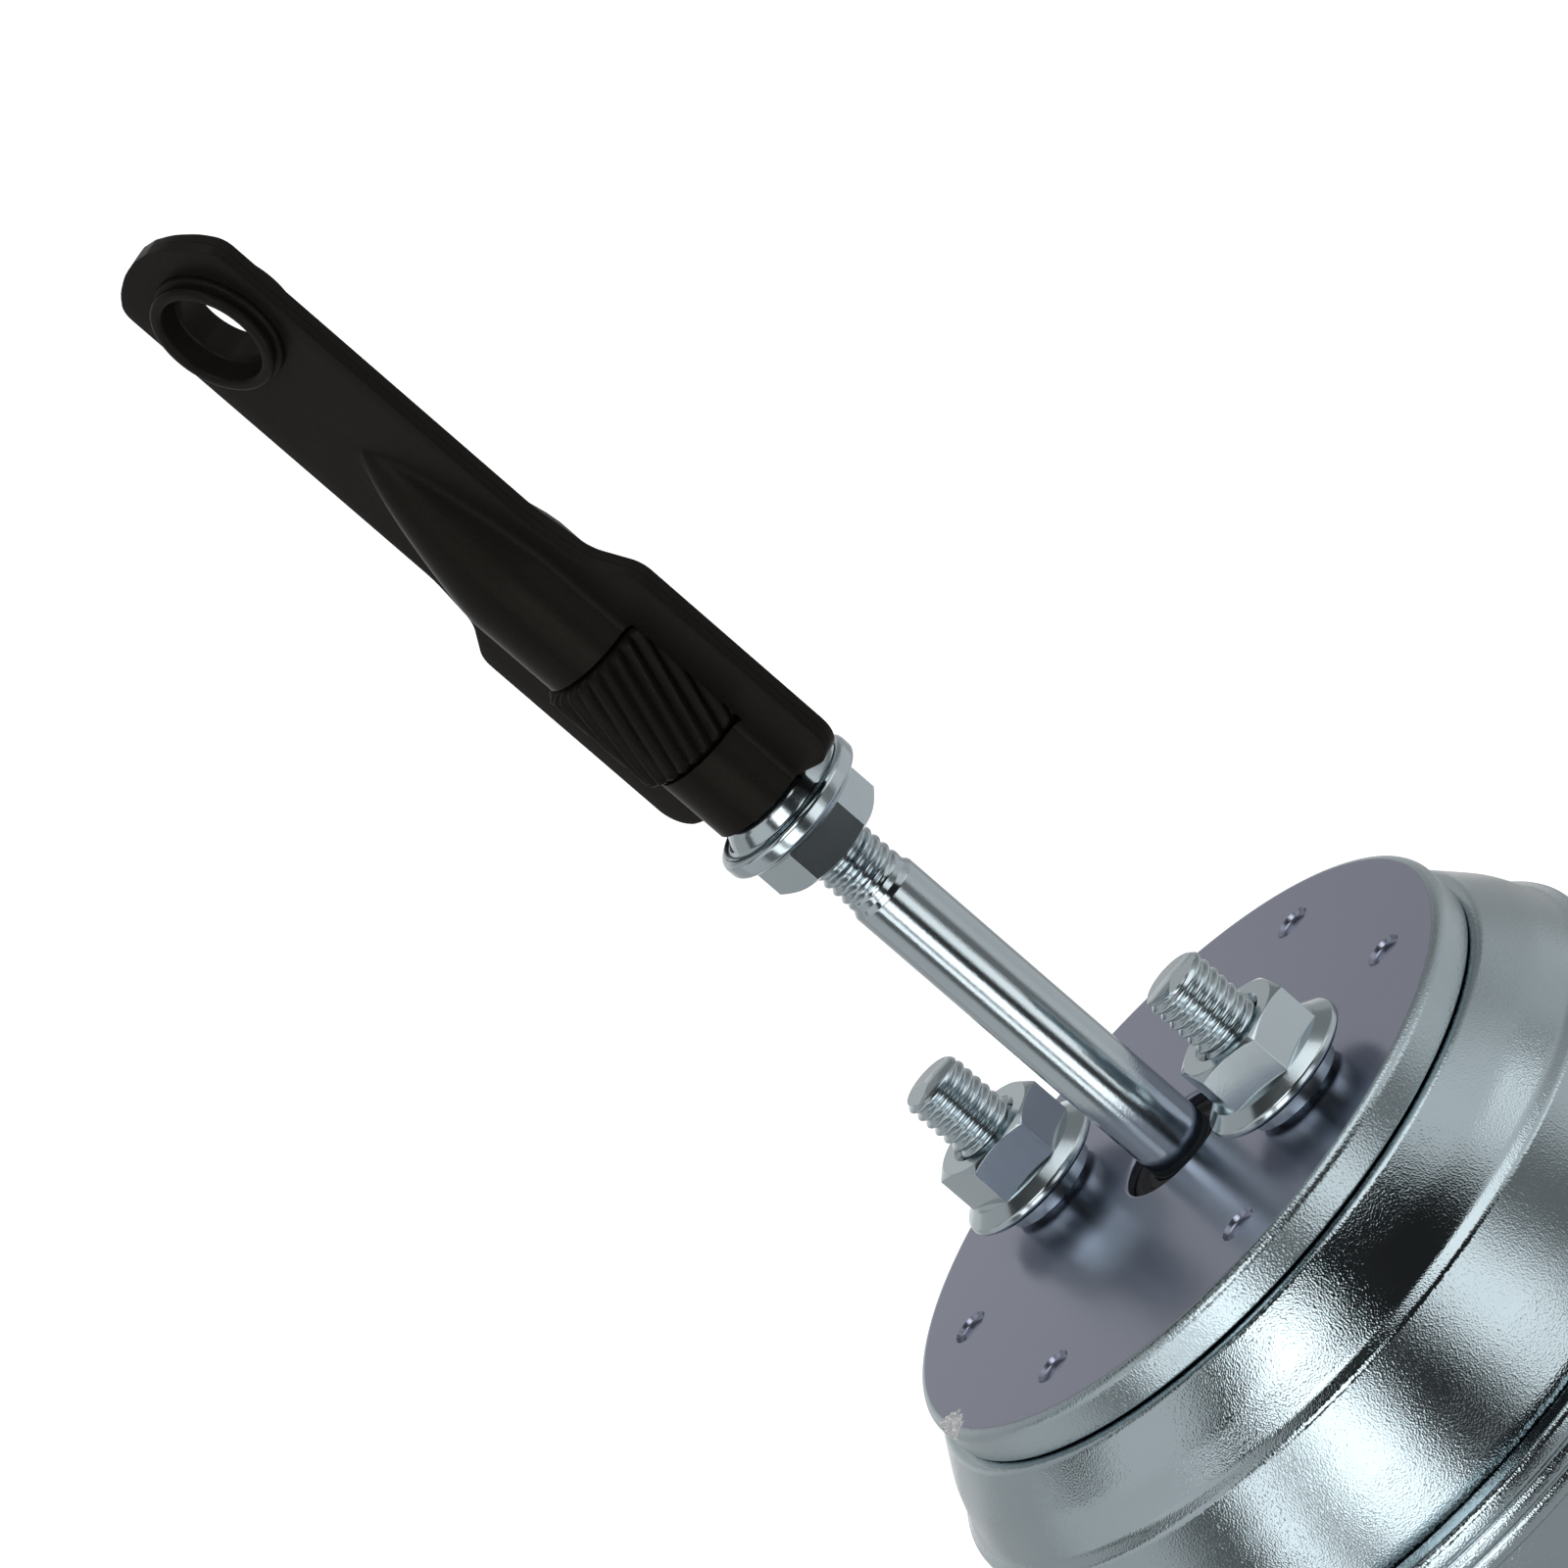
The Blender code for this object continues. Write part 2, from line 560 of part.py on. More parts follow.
def make_spring(can):
    """Return spring between the piston's floor and the seat under the can's top."""
    turned("spring_seat", [
        (BUSH_FLANGE_RADIUS + SEAT_GAP, 0.0, 0),
        (SEAT_RADIUS, 0.0, 0),
        (SEAT_RADIUS, -SEAT_RIM, 0),
        (SEAT_RADIUS + SEAT_THICKNESS, -SEAT_RIM, 0),
        (SEAT_RADIUS + SEAT_THICKNESS, SEAT_THICKNESS, EDGE_ROUND),
        (BUSH_FLANGE_RADIUS + SEAT_GAP, SEAT_THICKNESS, 0),
    ], zinc("spring_seat_zinc"), can, SEAT_Z, INNER_SEGMENTS)
    foot = PISTON_Z + PISTON_WALL + SEAT_GAP + SPRING_WIRE_RADIUS
    head = SEAT_Z - SEAT_GAP - SPRING_WIRE_RADIUS
    curve = bpy.data.curves.new("return_spring", 'CURVE')
    curve.dimensions = '3D'
    curve.bevel_depth = SPRING_WIRE_RADIUS
    curve.bevel_resolution = 1
    curve.use_fill_caps = True
    steps = int(SPRING_TURNS * 16)
    wire = curve.splines.new('POLY')
    wire.points.add(steps)
    for step in range(steps + 1):
        share = step / steps
        angle = 2 * math.pi * SPRING_TURNS * share
        rise = foot + (head - foot) * share
        wire.points[step].co = (SPRING_RADIUS * math.cos(angle), SPRING_RADIUS * math.sin(angle), rise, 1.0)
    spring = bpy.data.objects.new("return_spring", curve)
    spring.data.materials.append(make_material("spring_steel", (0.30, 0.30, 0.31), 0.35, 1.0))
    bpy.context.collection.objects.link(spring)
    spring.parent = can
    return spring


def sheet_outline():
    """Half of the pressed sheet's outline as (half width, rise), from its foot to its tip."""
    tip = EYE_RISE + TIP_ABOVE_EYE
    corner_turn = math.asin(NECK_HALF_WIDTH / TIP_RADIUS)
    corner_rise = tip - TIP_RADIUS + TIP_RADIUS * math.cos(corner_turn)
    corners = [
        (PALM_HALF_WIDTH - 2 * PALM_CORNER, 0.0, 0),
        (PALM_HALF_WIDTH, 0.0, PALM_CORNER),
        (PALM_HALF_WIDTH, PALM_LENGTH, PALM_SHOULDER),
        (NECK_HALF_WIDTH + NECK_CORNER_STEP, NECK_CORNER_RISE, NECK_CORNER_FILLET),
        (NECK_HALF_WIDTH, NECK_START, NECK_FILLET),
        (NECK_HALF_WIDTH, corner_rise, TIP_FILLET),
    ]
    for share in (0.75, 0.5, 0.25, 0.08):
        turn = corner_turn * share
        corners.append((TIP_RADIUS * math.sin(turn), tip - TIP_RADIUS * (1 - math.cos(turn)), 0))
    return rounded(corners)[1:]


def half_width(outline, rise):
    """Half the width of the pressed sheet at a height above its lower edge."""
    for before, after in zip(outline, outline[1:]):
        if before.y <= rise <= after.y and after.y > before.y:
            share = (rise - before.y) / (after.y - before.y)
            return before.x + (after.x - before.x) * share
    return outline[-1].x


def barrel_radius(rise):
    """Outer radius of the half barrel: a plain tube that closes in a bullet nose."""
    share = min(1.0, max(0.0, (rise - NOSE_START) / NOSE_LENGTH))
    return BARREL_RADIUS * (1 - share) ** NOSE_POWER


def sheet_section(width, rise, skin):
    """Points (x, depth) across the sheet at one height; skin 0 is outside, 1 is inside."""
    fillet_steps, barrel_steps = 2, 5
    face = SHEET_FACE - SHEET * skin
    half = [(width, face)]
    if barrel_radius(rise) <= SHEET_FACE:
        count = fillet_steps + barrel_steps + 1
        half += [(width * (1 - step / count), face) for step in range(1, count)]
        return half + [(0.0, face)] + [(-x, depth) for x, depth in reversed(half)]
    radius = barrel_radius(rise) - SHEET * skin
    fillet = SHEET_FILLET + SHEET * skin
    foot = math.sqrt((radius + fillet) ** 2 - (face + fillet) ** 2)
    turn = math.atan2(foot, face + fillet)
    for step in range(fillet_steps):
        angle = turn * step / fillet_steps
        half.append((foot - fillet * math.sin(angle), face + fillet - fillet * math.cos(angle)))
    for step in range(barrel_steps):
        angle = turn * (1 - step / barrel_steps)
        half.append((radius * math.sin(angle), radius * math.cos(angle)))
    return half + [(0.0, radius)] + [(-x, depth) for x, depth in reversed(half)]


def section_rises(outline):
    """Heights of the sections: the outline's own points, and steps that follow the nose."""
    rises = [point.y for point in outline]
    rises += [NOSE_START + NOSE_LENGTH * share for share in (0.0, 0.45, 0.65, 0.8, 0.9, 0.96, 0.99, 1.0)]
    kept = []
    for rise in sorted(rises):
        if not kept or rise - kept[-1] > SECTION_STEP:
            kept.append(rise)
    return kept


def make_sheet(name, side, rod_end):
    """One pressed sheet of the rod end, lofted through its sections; side -1 faces -Y."""
    data = bmesh.new()
    loops = []
    outline = sheet_outline()
    for rise in section_rises(outline):
        width = half_width(outline, rise)
        outer = sheet_section(width, rise, 0)
        inner = sheet_section(width, rise, 1)
        ring = outer + inner[::-1]
        loops.append([data.verts.new((x, side * depth, rise)) for x, depth in ring])
    count = len(loops[0])
    for lower, upper in zip(loops, loops[1:]):
        for index in range(count):
            step = (index + 1) % count
            data.faces.new((lower[index], lower[step], upper[step], upper[index]))
    for loop in (loops[0], loops[-1]):
        half = count // 2
        for index in range(half - 1):
            data.faces.new((loop[index], loop[index + 1], loop[count - 2 - index], loop[count - 1 - index]))
    item = finish_object(name, data, black_steel(name + "_black"), rod_end, ROD_END_Z)
    slot = ADJUSTER_LENGTH + 2 * WINDOW_GAP
    window = box_cutter(name + "_window", (2 * (ADJUSTER_RADIUS + SEAT_GAP), 4 * ADJUSTER_RADIUS, slot),
                        rod_end, Matrix.Translation((0, 0, ADJUSTER_RISE + ADJUSTER_LENGTH / 2)))
    cut_away(item, window)
    through = Matrix.Translation((0, 0, EYE_RISE)) @ Matrix.Rotation(math.pi / 2, 4, 'X')
    eye = round_cutter(name + "_eye", EYE_BORE_RADIUS + EYE_BUSH_WALL + SEAT_GAP, 4 * EYE_FRONT,
                       rod_end, through, segments=24)
    cut_away(item, eye)
    return item


def make_adjuster(rod_end):
    """Knurled nut with helical ridges, and a hub at each end that turns in the barrels."""
    def shape(r, z, part, angle):
        if part != "knurl":
            return r, angle
        twist = math.radians(RIDGE_TWIST) * (z / ADJUSTER_LENGTH - 0.5)
        column = round(angle * 2 * RIDGE_COUNT / (2 * math.pi))
        return r - RIDGE_DEPTH * (column % 2), angle + twist
    edge = ADJUSTER_EDGE
    top = ADJUSTER_LENGTH
    rows = [
        (THREAD_BORE, -ADJUSTER_HUB, "bore"),
        (HUB_RADIUS, -ADJUSTER_HUB, "hub"),
        (HUB_RADIUS, 0.0, "hub"),
        (ADJUSTER_RADIUS - edge, 0.0, "knurl"),
        (ADJUSTER_RADIUS, edge, "knurl"),
        (ADJUSTER_RADIUS, top / 3, "knurl"),
        (ADJUSTER_RADIUS, top * 2 / 3, "knurl"),
        (ADJUSTER_RADIUS, top - edge, "knurl"),
        (ADJUSTER_RADIUS - edge, top, "knurl"),
        (HUB_RADIUS, top, "hub"),
        (HUB_RADIUS, top + ADJUSTER_HUB, "hub"),
        (THREAD_BORE, top + ADJUSTER_HUB, "bore"),
    ]
    return ring_body("adjuster_nut", rows, 2 * RIDGE_COUNT, shape, black_steel("adjuster_black"),
                     rod_end, ROD_END_Z + ADJUSTER_RISE)


def make_eye_bush(rod_end):
    """Flared bush through the flat end; its rims stand proud of both sheets."""
    tube = EYE_BORE_RADIUS + EYE_BUSH_WALL
    seat = SHEET_FACE + SEAT_GAP
    bush = turned("eye_bush", [
        (EYE_STEP_RADIUS, -EYE_BACK, 0),
        (EYE_RIM_RADIUS, -EYE_BACK, 0),
        (EYE_RIM_RADIUS, -seat, 0),
        (tube, -seat, 0),
        (tube, seat, 0),
        (EYE_RIM_RADIUS, seat, 0),
        (EYE_RIM_RADIUS, EYE_FRONT, 0),
        (EYE_BORE_RADIUS, EYE_FRONT, 0),
        (EYE_BORE_RADIUS, EYE_STEP, 0),
        (EYE_STEP_RADIUS, EYE_STEP, 0),
    ], black_steel("eye_bush_black"), rod_end, ROD_END_Z + EYE_RISE, 28)
    bush.rotation_euler = (math.pi / 2, 0.0, 0.0)
    return bush


def make_nipple(can):
    """Barbed hose nipple with a flange on the can's wall and a spigot through it."""
    root = NIPPLE_FLANGE
    corners = [
        (NIPPLE_BORE, -CAN_WALL - SEAT_GAP, 0),
        (NIPPLE_RADIUS, -CAN_WALL - SEAT_GAP, 0),
        (NIPPLE_RADIUS, 0.0, 0),
        (NIPPLE_FLANGE_RADIUS, 0.0, 0),
        (NIPPLE_FLANGE_RADIUS, root, 0),
        (NIPPLE_RADIUS, root, 0),
    ]
    pitch = (NIPPLE_LENGTH - root) / (NIPPLE_BARBS + 1)
    for barb in range(1, NIPPLE_BARBS + 1):
        corners.append((NIPPLE_RADIUS, root + pitch * barb, 0))
        corners.append((NIPPLE_RADIUS + NIPPLE_BARB, root + pitch * barb, 0))
    corners.append((NIPPLE_RADIUS - EDGE_ROUND, NIPPLE_LENGTH, 0))
    corners.append((NIPPLE_BORE, NIPPLE_LENGTH, 0))
    nipple = turned("hose_nipple", corners, zinc("hose_nipple_zinc"), can, NIPPLE_RISE, 16)
    nipple.location.x = -(LOWER_CAN_RADIUS + SEAT_GAP)
    nipple.rotation_euler = (0.0, -math.pi / 2, 0.0)
    return nipple


clear_scene()
can_frame = make_frame("can_frame", 0.0)
rod_frame = make_frame("rod_frame", 0.0)
rod_end_frame = make_frame("rod_end_frame", ROD_END_Z)

make_lower_can(can_frame)
make_upper_can(can_frame)
make_mounting_plate(can_frame)
for stud_label, stud_side in (("left", -1), ("right", 1)):
    make_stud(stud_label, stud_side, can_frame)
    stud_nut = make_flange_nut(f"flange_nut_{stud_label}", NUT_HEIGHT, STUD_RADIUS + SEAT_GAP, can_frame,
                               PLATE_TOP + COLLAR_HEIGHT + 2 * SEAT_GAP)
    stud_nut.location.x = stud_side * STUD_OFFSET
make_bush_and_seal(can_frame)
make_piston_group(can_frame, rod_frame)
make_spring(can_frame)
make_rod(rod_frame)
jam_nut = make_flange_nut("jam_nut", JAM_NUT_HEIGHT, THREAD_BORE, rod_frame, JAM_NUT_Z + JAM_NUT_HEIGHT,
                          JAM_COLLAR_HEIGHT, JAM_HEX_RISE)
jam_nut.rotation_euler = (math.pi, 0.0, math.radians(JAM_NUT_TURN))
make_sheet("rod_end_front_half", -1, rod_end_frame)
make_sheet("rod_end_rear_half", 1, rod_end_frame)
make_adjuster(rod_end_frame)
make_eye_bush(rod_end_frame)
make_nipple(can_frame)
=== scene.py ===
import math
import random

import bpy
from mathutils import Matrix, Vector


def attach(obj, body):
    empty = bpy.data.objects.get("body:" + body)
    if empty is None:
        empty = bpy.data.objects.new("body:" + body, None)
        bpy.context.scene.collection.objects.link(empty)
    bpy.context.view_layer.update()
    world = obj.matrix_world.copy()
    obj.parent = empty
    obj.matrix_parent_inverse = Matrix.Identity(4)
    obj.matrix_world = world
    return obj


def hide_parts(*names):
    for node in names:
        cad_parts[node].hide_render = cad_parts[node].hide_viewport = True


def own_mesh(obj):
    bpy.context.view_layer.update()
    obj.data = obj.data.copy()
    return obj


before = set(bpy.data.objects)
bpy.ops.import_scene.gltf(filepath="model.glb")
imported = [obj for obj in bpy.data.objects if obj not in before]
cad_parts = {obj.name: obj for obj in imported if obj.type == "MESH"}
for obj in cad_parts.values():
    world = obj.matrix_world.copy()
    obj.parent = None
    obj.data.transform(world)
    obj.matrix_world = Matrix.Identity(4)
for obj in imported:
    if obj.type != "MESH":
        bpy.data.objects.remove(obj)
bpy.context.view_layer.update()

# Camera: a long lens from the right and above, fitted to the photograph.
camera_data = bpy.data.cameras.new("camera")
camera_data.lens = 202.5
camera_data.sensor_width = 36
camera_data.clip_end = 50
camera = bpy.data.objects.new("camera", camera_data)
right = Vector((0.53679, 0.42972, -0.72608))
up = Vector((0.2624, 0.73287, 0.62773))
back = Vector((0.80188, -0.52748, 0.28064))
view_matrix = Matrix((right, up, back)).transposed().to_4x4()
view_point = Vector((0.56944, -0.37318, 0.29204))
view_matrix.translation = view_point
camera.matrix_world = view_matrix
bpy.context.scene.collection.objects.link(camera)
bpy.context.scene.camera = camera
bpy.context.scene.view_settings.view_transform = 'Standard'

# Floor: a plain pale sheet that the canister stands on. It keeps the object's shadow.
FLOOR_RADIUS = 5.0
FLOOR_HEIGHT = -0.0002
FLOOR_GLOW = 0.55
bpy.ops.object.select_all(action='DESELECT')
bpy.ops.mesh.primitive_circle_add(vertices=64, radius=FLOOR_RADIUS, fill_type='NGON',
                                  location=(0, 0, FLOOR_HEIGHT))
floor = bpy.context.object
floor.name = "floor"
paper = bpy.data.materials.new("floor_paper")
paper.use_nodes = True
nodes = paper.node_tree.nodes
links = paper.node_tree.links
shader = nodes["Principled BSDF"]
shader.inputs["Base Color"].default_value = (0.86, 0.86, 0.86, 1.0)
shader.inputs["Roughness"].default_value = 0.9
shader.inputs["Emission Color"].default_value = (1.0, 1.0, 1.0, 1.0)
rays = nodes.new("ShaderNodeLightPath")
mirrored = nodes.new("ShaderNodeMath")
mirrored.operation = 'MAXIMUM'
links.new(rays.outputs["Is Glossy Ray"], mirrored.inputs[0])
links.new(rays.outputs["Is Transmission Ray"], mirrored.inputs[1])
seen = nodes.new("ShaderNodeMath")
seen.operation = 'MAXIMUM'
links.new(rays.outputs["Is Camera Ray"], seen.inputs[0])
links.new(mirrored.outputs[0], seen.inputs[1])
glow = nodes.new("ShaderNodeMath")
glow.operation = 'MULTIPLY'
glow.inputs[1].default_value = FLOOR_GLOW
links.new(seen.outputs[0], glow.inputs[0])
links.new(glow.outputs[0], shader.inputs["Emission Strength"])
floor.data.materials.append(paper)

# World: even grey studio air.
world = bpy.data.worlds.new("studio")
world.use_nodes = True
world.node_tree.nodes["Background"].inputs["Color"].default_value = (0.50, 0.51, 0.52, 1.0)
world.node_tree.nodes["Background"].inputs["Strength"].default_value = 1.0
bpy.context.scene.world = world

# Lamps: one broad soft box on the camera's left, and a weaker one behind the object.
LAMP_DISTANCE = 1.2
lamps = (("key", -60, 45, 0.7, 3.2), ("fill", 120, 50, 0.9, 1.2))
for lamp_name, azimuth, elevation, size, power in lamps:
    lamp_data = bpy.data.lights.new(lamp_name, 'AREA')
    lamp_data.size = size
    lamp_data.energy = power
    lamp = bpy.data.objects.new(lamp_name, lamp_data)
    turn = math.radians(azimuth)
    lift = math.radians(elevation)
    toward = Vector((math.cos(turn) * math.cos(lift), math.sin(turn) * math.cos(lift), math.sin(lift)))
    lamp.location = toward * LAMP_DISTANCE
    lamp.rotation_euler = toward.to_track_quat('Z', 'Y').to_euler()
    lamp.visible_glossy = False
    bpy.context.scene.collection.objects.link(lamp)

# Studio cards: bright and dark boards round the table, which show only in reflections. Each
# ring of boards stands between two elevations, and a board is (last azimuth, brightness).
card_rings = (
    ("near", -64, -38, ((0, 0.42), (180, 0.42))),
    ("low", -38, 6, (
        (-150, 0.46), (-112, 0.56), (-106, 0.42), (-89, 0.16), (-77, 1.8), (-69, 0.5), (-48, 2.2),
        (-44, 0.3), (-28, 0.05), (-23, 0.6), (-4, 1.4), (3, 0.7), (24, 0.22), (30, 0.42),
        (52, 0.68), (100, 0.62), (124, 0.42), (134, 0.6), (168, 0.85), (180, 0.60))),
    ("mid", 6, 22, (
        (-150, 0.46), (-96, 0.62), (-76, 1.2), (10, 0.02), (22, 0.5), (50, 1.25), (62, 0.42),
        (100, 0.55), (134, 0.42), (146, 0.54), (180, 0.68))),
    ("high", 22, 56, (
        (-147, 0.48), (-134, 0.12), (-91, 0.68), (-76, 0.0), (-44, 2.4), (9, 0.02), (14, 0.3),
        (50, 0.80), (62, 0.66), (72, 0.52), (84, 0.43), (95, 0.34), (140, 0.26), (165, 0.34),
        (180, 0.50))),
    ("top", 56, 88, ((-140, 0.05), (-100, 0.5), (-12, 0.03), (90, 1.5), (135, 0.7), (180, 0.06))),
)
FIRST_AZIMUTH = -180
COLUMN_WIDTH = 5
CARD_DISTANCE = 3.0
WALL_FOOT = -1.34
MIRROR_HEIGHT = 0.07
BOARD_LIFT = 0.0004


def board_point(azimuth, elevation):
    """The point where a line from the object at this angle meets the floor or the wall of boards."""
    turn = math.radians(azimuth)
    rise = CARD_DISTANCE * math.tan(math.radians(elevation))
    reach = CARD_DISTANCE
    if rise <= 0:
        reach = min(CARD_DISTANCE, MIRROR_HEIGHT / math.tan(math.radians(-elevation)))
    return (reach * math.cos(turn), reach * math.sin(turn), max(rise, BOARD_LIFT))


for ring_name, lowest, highest, boards in card_rings:
    first = FIRST_AZIMUTH
    elevations = (lowest, WALL_FOOT, highest) if lowest < 0 < highest else (lowest, highest)
    for last, level in boards:
        columns = max(1, round((last - first) / COLUMN_WIDTH))
        verts = []
        faces = []
        for column in range(columns + 1):
            azimuth = first + (last - first) * column / columns
            verts += [board_point(azimuth, elevation) for elevation in elevations]
        rows = len(elevations)
        for column in range(columns):
            for row in range(rows - 1):
                here = column * rows + row
                faces.append((here, here + rows, here + rows + 1, here + 1))
        card_name = f"card_{ring_name}_{first - FIRST_AZIMUTH}"
        first = last
        board_mesh = bpy.data.meshes.new(card_name)
        board_mesh.from_pydata(verts, [], faces)
        board = bpy.data.objects.new(card_name, board_mesh)
        bpy.context.scene.collection.objects.link(board)
        board_paint = bpy.data.materials.new(card_name)
        board_paint.use_nodes = True
        board_shader = board_paint.node_tree.nodes["Principled BSDF"]
        board_shader.inputs["Base Color"].default_value = (0.0, 0.0, 0.0, 1.0)
        board_shader.inputs["Specular IOR Level"].default_value = 0.0
        board_shader.inputs["Emission Color"].default_value = (1.0, 1.0, 1.0, 1.0)
        board_shader.inputs["Emission Strength"].default_value = level
        board_mesh.materials.append(board_paint)
        board.visible_camera = False
        board.visible_diffuse = False
        board.visible_shadow = False
        board.visible_transmission = False

# Lower can: a deep-drawn cup of zinc-plated steel sheet. Its edge is rolled over the upper
# shell's flange, and the roll shows two shallow working marks all round.
MM = 0.001
CAN_WALL = 1.05
PORT_RADIUS = 2.9
PORT_HEIGHT = 9.0 * MM
PORT_MIDDLE = (-36.0 * MM, 0, PORT_HEIGHT)
zinc_tone = (0.45, 0.535, 0.57)


def soft_path(corners, closed, sweep_step=12.0):
    """Corners (r, z, fillet) in millimetres as points in metres, with each fillet drawn as an arc."""
    path = []
    count = len(corners)
    for index, (r, z, fillet) in enumerate(corners):
        corner = Vector((r, z))
        if fillet <= 0 or (not closed and index in (0, count - 1)):
            path.append(corner * MM)
            continue
        before = Vector(corners[index - 1][:2]) - corner
        after = Vector(corners[(index + 1) % count][:2]) - corner
        half = before.angle(after) / 2
        reach = fillet / math.tan(half)
        first_point = corner + before.normalized() * reach
        last_point = corner + after.normalized() * reach
        middle = (before.normalized() + after.normalized()).normalized()
        centre = corner + middle * fillet / math.sin(half)
        arm = first_point - centre
        sweep = arm.angle_signed(last_point - centre)
        steps = max(2, math.ceil(abs(math.degrees(sweep)) / sweep_step))
        for step in range(steps + 1):
            swung = arm.copy()
            swung.rotate(Matrix.Rotation(-sweep * step / steps, 2))
            path.append((centre + swung) * MM)
    return path


def take(piece):
    """Make one piece the only one selected."""
    bpy.ops.object.select_all(action='DESELECT')
    piece.select_set(True)
    bpy.context.view_layer.objects.active = piece


def turned(name, corners, steps, closed=True, sweep_step=12.0):
    """Draw a profile point by point in the XZ plane, and spin it about Z."""
    path = soft_path(corners, closed, sweep_step)
    bpy.ops.object.select_all(action='DESELECT')
    bpy.ops.mesh.primitive_plane_add(size=0.001, location=(0, 0, 0))
    piece = bpy.context.object
    piece.name = name
    piece.data.name = name
    bpy.ops.object.mode_set(mode='EDIT')
    bpy.ops.mesh.select_all(action='SELECT')
    bpy.ops.mesh.merge(type='CENTER')
    bpy.ops.transform.translate(value=(path[0].x, 0, path[0].y))
    if closed:
        path.append(path[0])
    for before, after in zip(path, path[1:]):
        step_move = (after.x - before.x, 0, after.y - before.y)
        bpy.ops.mesh.extrude_region_move(TRANSFORM_OT_translate={"value": step_move})
    bpy.ops.mesh.select_all(action='SELECT')
    bpy.ops.mesh.remove_doubles(threshold=1e-7)
    bpy.ops.mesh.select_all(action='SELECT')
    bpy.ops.mesh.spin(steps=steps, angle=2 * math.pi, center=(0, 0, 0), axis=(0, 0, 1))
    bpy.ops.mesh.select_all(action='SELECT')
    bpy.ops.mesh.remove_doubles(threshold=1e-6)
    bpy.ops.mesh.select_all(action='SELECT')
    bpy.ops.mesh.normals_make_consistent(inside=False)
    bpy.ops.object.mode_set(mode='OBJECT')
    return piece


def give_wall(piece, thickness):
    """Thicken a skin towards its inner side with Solidify, and apply it."""
    take(piece)
    wall = piece.modifiers.new("wall", 'SOLIDIFY')
    wall.thickness = thickness * MM
    wall.offset = -1.0
    wall.use_even_offset = True
    bpy.ops.object.modifier_apply(modifier="wall")


def combine(piece, tool, operation, carry_material=False):
    """Apply an exact boolean with a tool shape, and remove the tool."""
    take(piece)
    cut = piece.modifiers.new("cut", 'BOOLEAN')
    cut.operation = operation
    cut.solver = 'EXACT'
    cut.object = tool
    if carry_material:
        cut.material_mode = 'TRANSFER'
    bpy.ops.object.modifier_apply(modifier="cut")
    bpy.data.objects.remove(tool, do_unlink=True)


def place_mesh(piece, matrix):
    """Move the mesh itself, so that the piece stays at the origin."""
    piece.data.transform(matrix)
    piece.data.update()


def settle(piece):
    """Move the piece's own placement into its mesh, and put the piece at the origin."""
    place_mesh(piece, piece.matrix_world)
    piece.matrix_world = Matrix.Identity(4)
    bpy.context.view_layer.update()


def fill_ends(piece):
    """Close the open ends of a tube-like skin, and turn its faces outward."""
    take(piece)
    bpy.ops.object.mode_set(mode='EDIT')
    bpy.ops.mesh.select_all(action='DESELECT')
    bpy.ops.mesh.select_non_manifold()
    bpy.ops.mesh.fill_holes(sides=0)
    bpy.ops.mesh.select_all(action='SELECT')
    bpy.ops.mesh.normals_make_consistent(inside=False)
    bpy.ops.object.mode_set(mode='OBJECT')


def smooth(piece, angle=35.0):
    """Shade the piece smoothly, apart from edges sharper than this angle."""
    take(piece)
    bpy.ops.object.shade_smooth_by_angle(angle=math.radians(angle))


def weigh_normals(piece):
    """Let the large flat faces keep their shading flat next to the small bevels."""
    take(piece)
    even = piece.modifiers.new("even", 'WEIGHTED_NORMAL')
    even.keep_sharp = True
    even.weight = 50
    bpy.ops.object.modifier_apply(modifier="even")


def soften_edges(piece, width, angle=40.0, segments=2):
    """Break the sharp edges with a small bevel, and apply it."""
    take(piece)
    edge = piece.modifiers.new("edge", 'BEVEL')
    edge.width = width * MM
    edge.segments = segments
    edge.limit_method = 'ANGLE'
    edge.angle_limit = math.radians(angle)
    edge.use_clamp_overlap = True
    bpy.ops.object.modifier_apply(modifier="edge")


def add_node(material, kind, **inputs):
    """Add a node and set its plain input values by name."""
    node = material.node_tree.nodes.new(kind)
    for key, value in inputs.items():
        node.inputs[key.replace("_", " ")].default_value = value
    return node


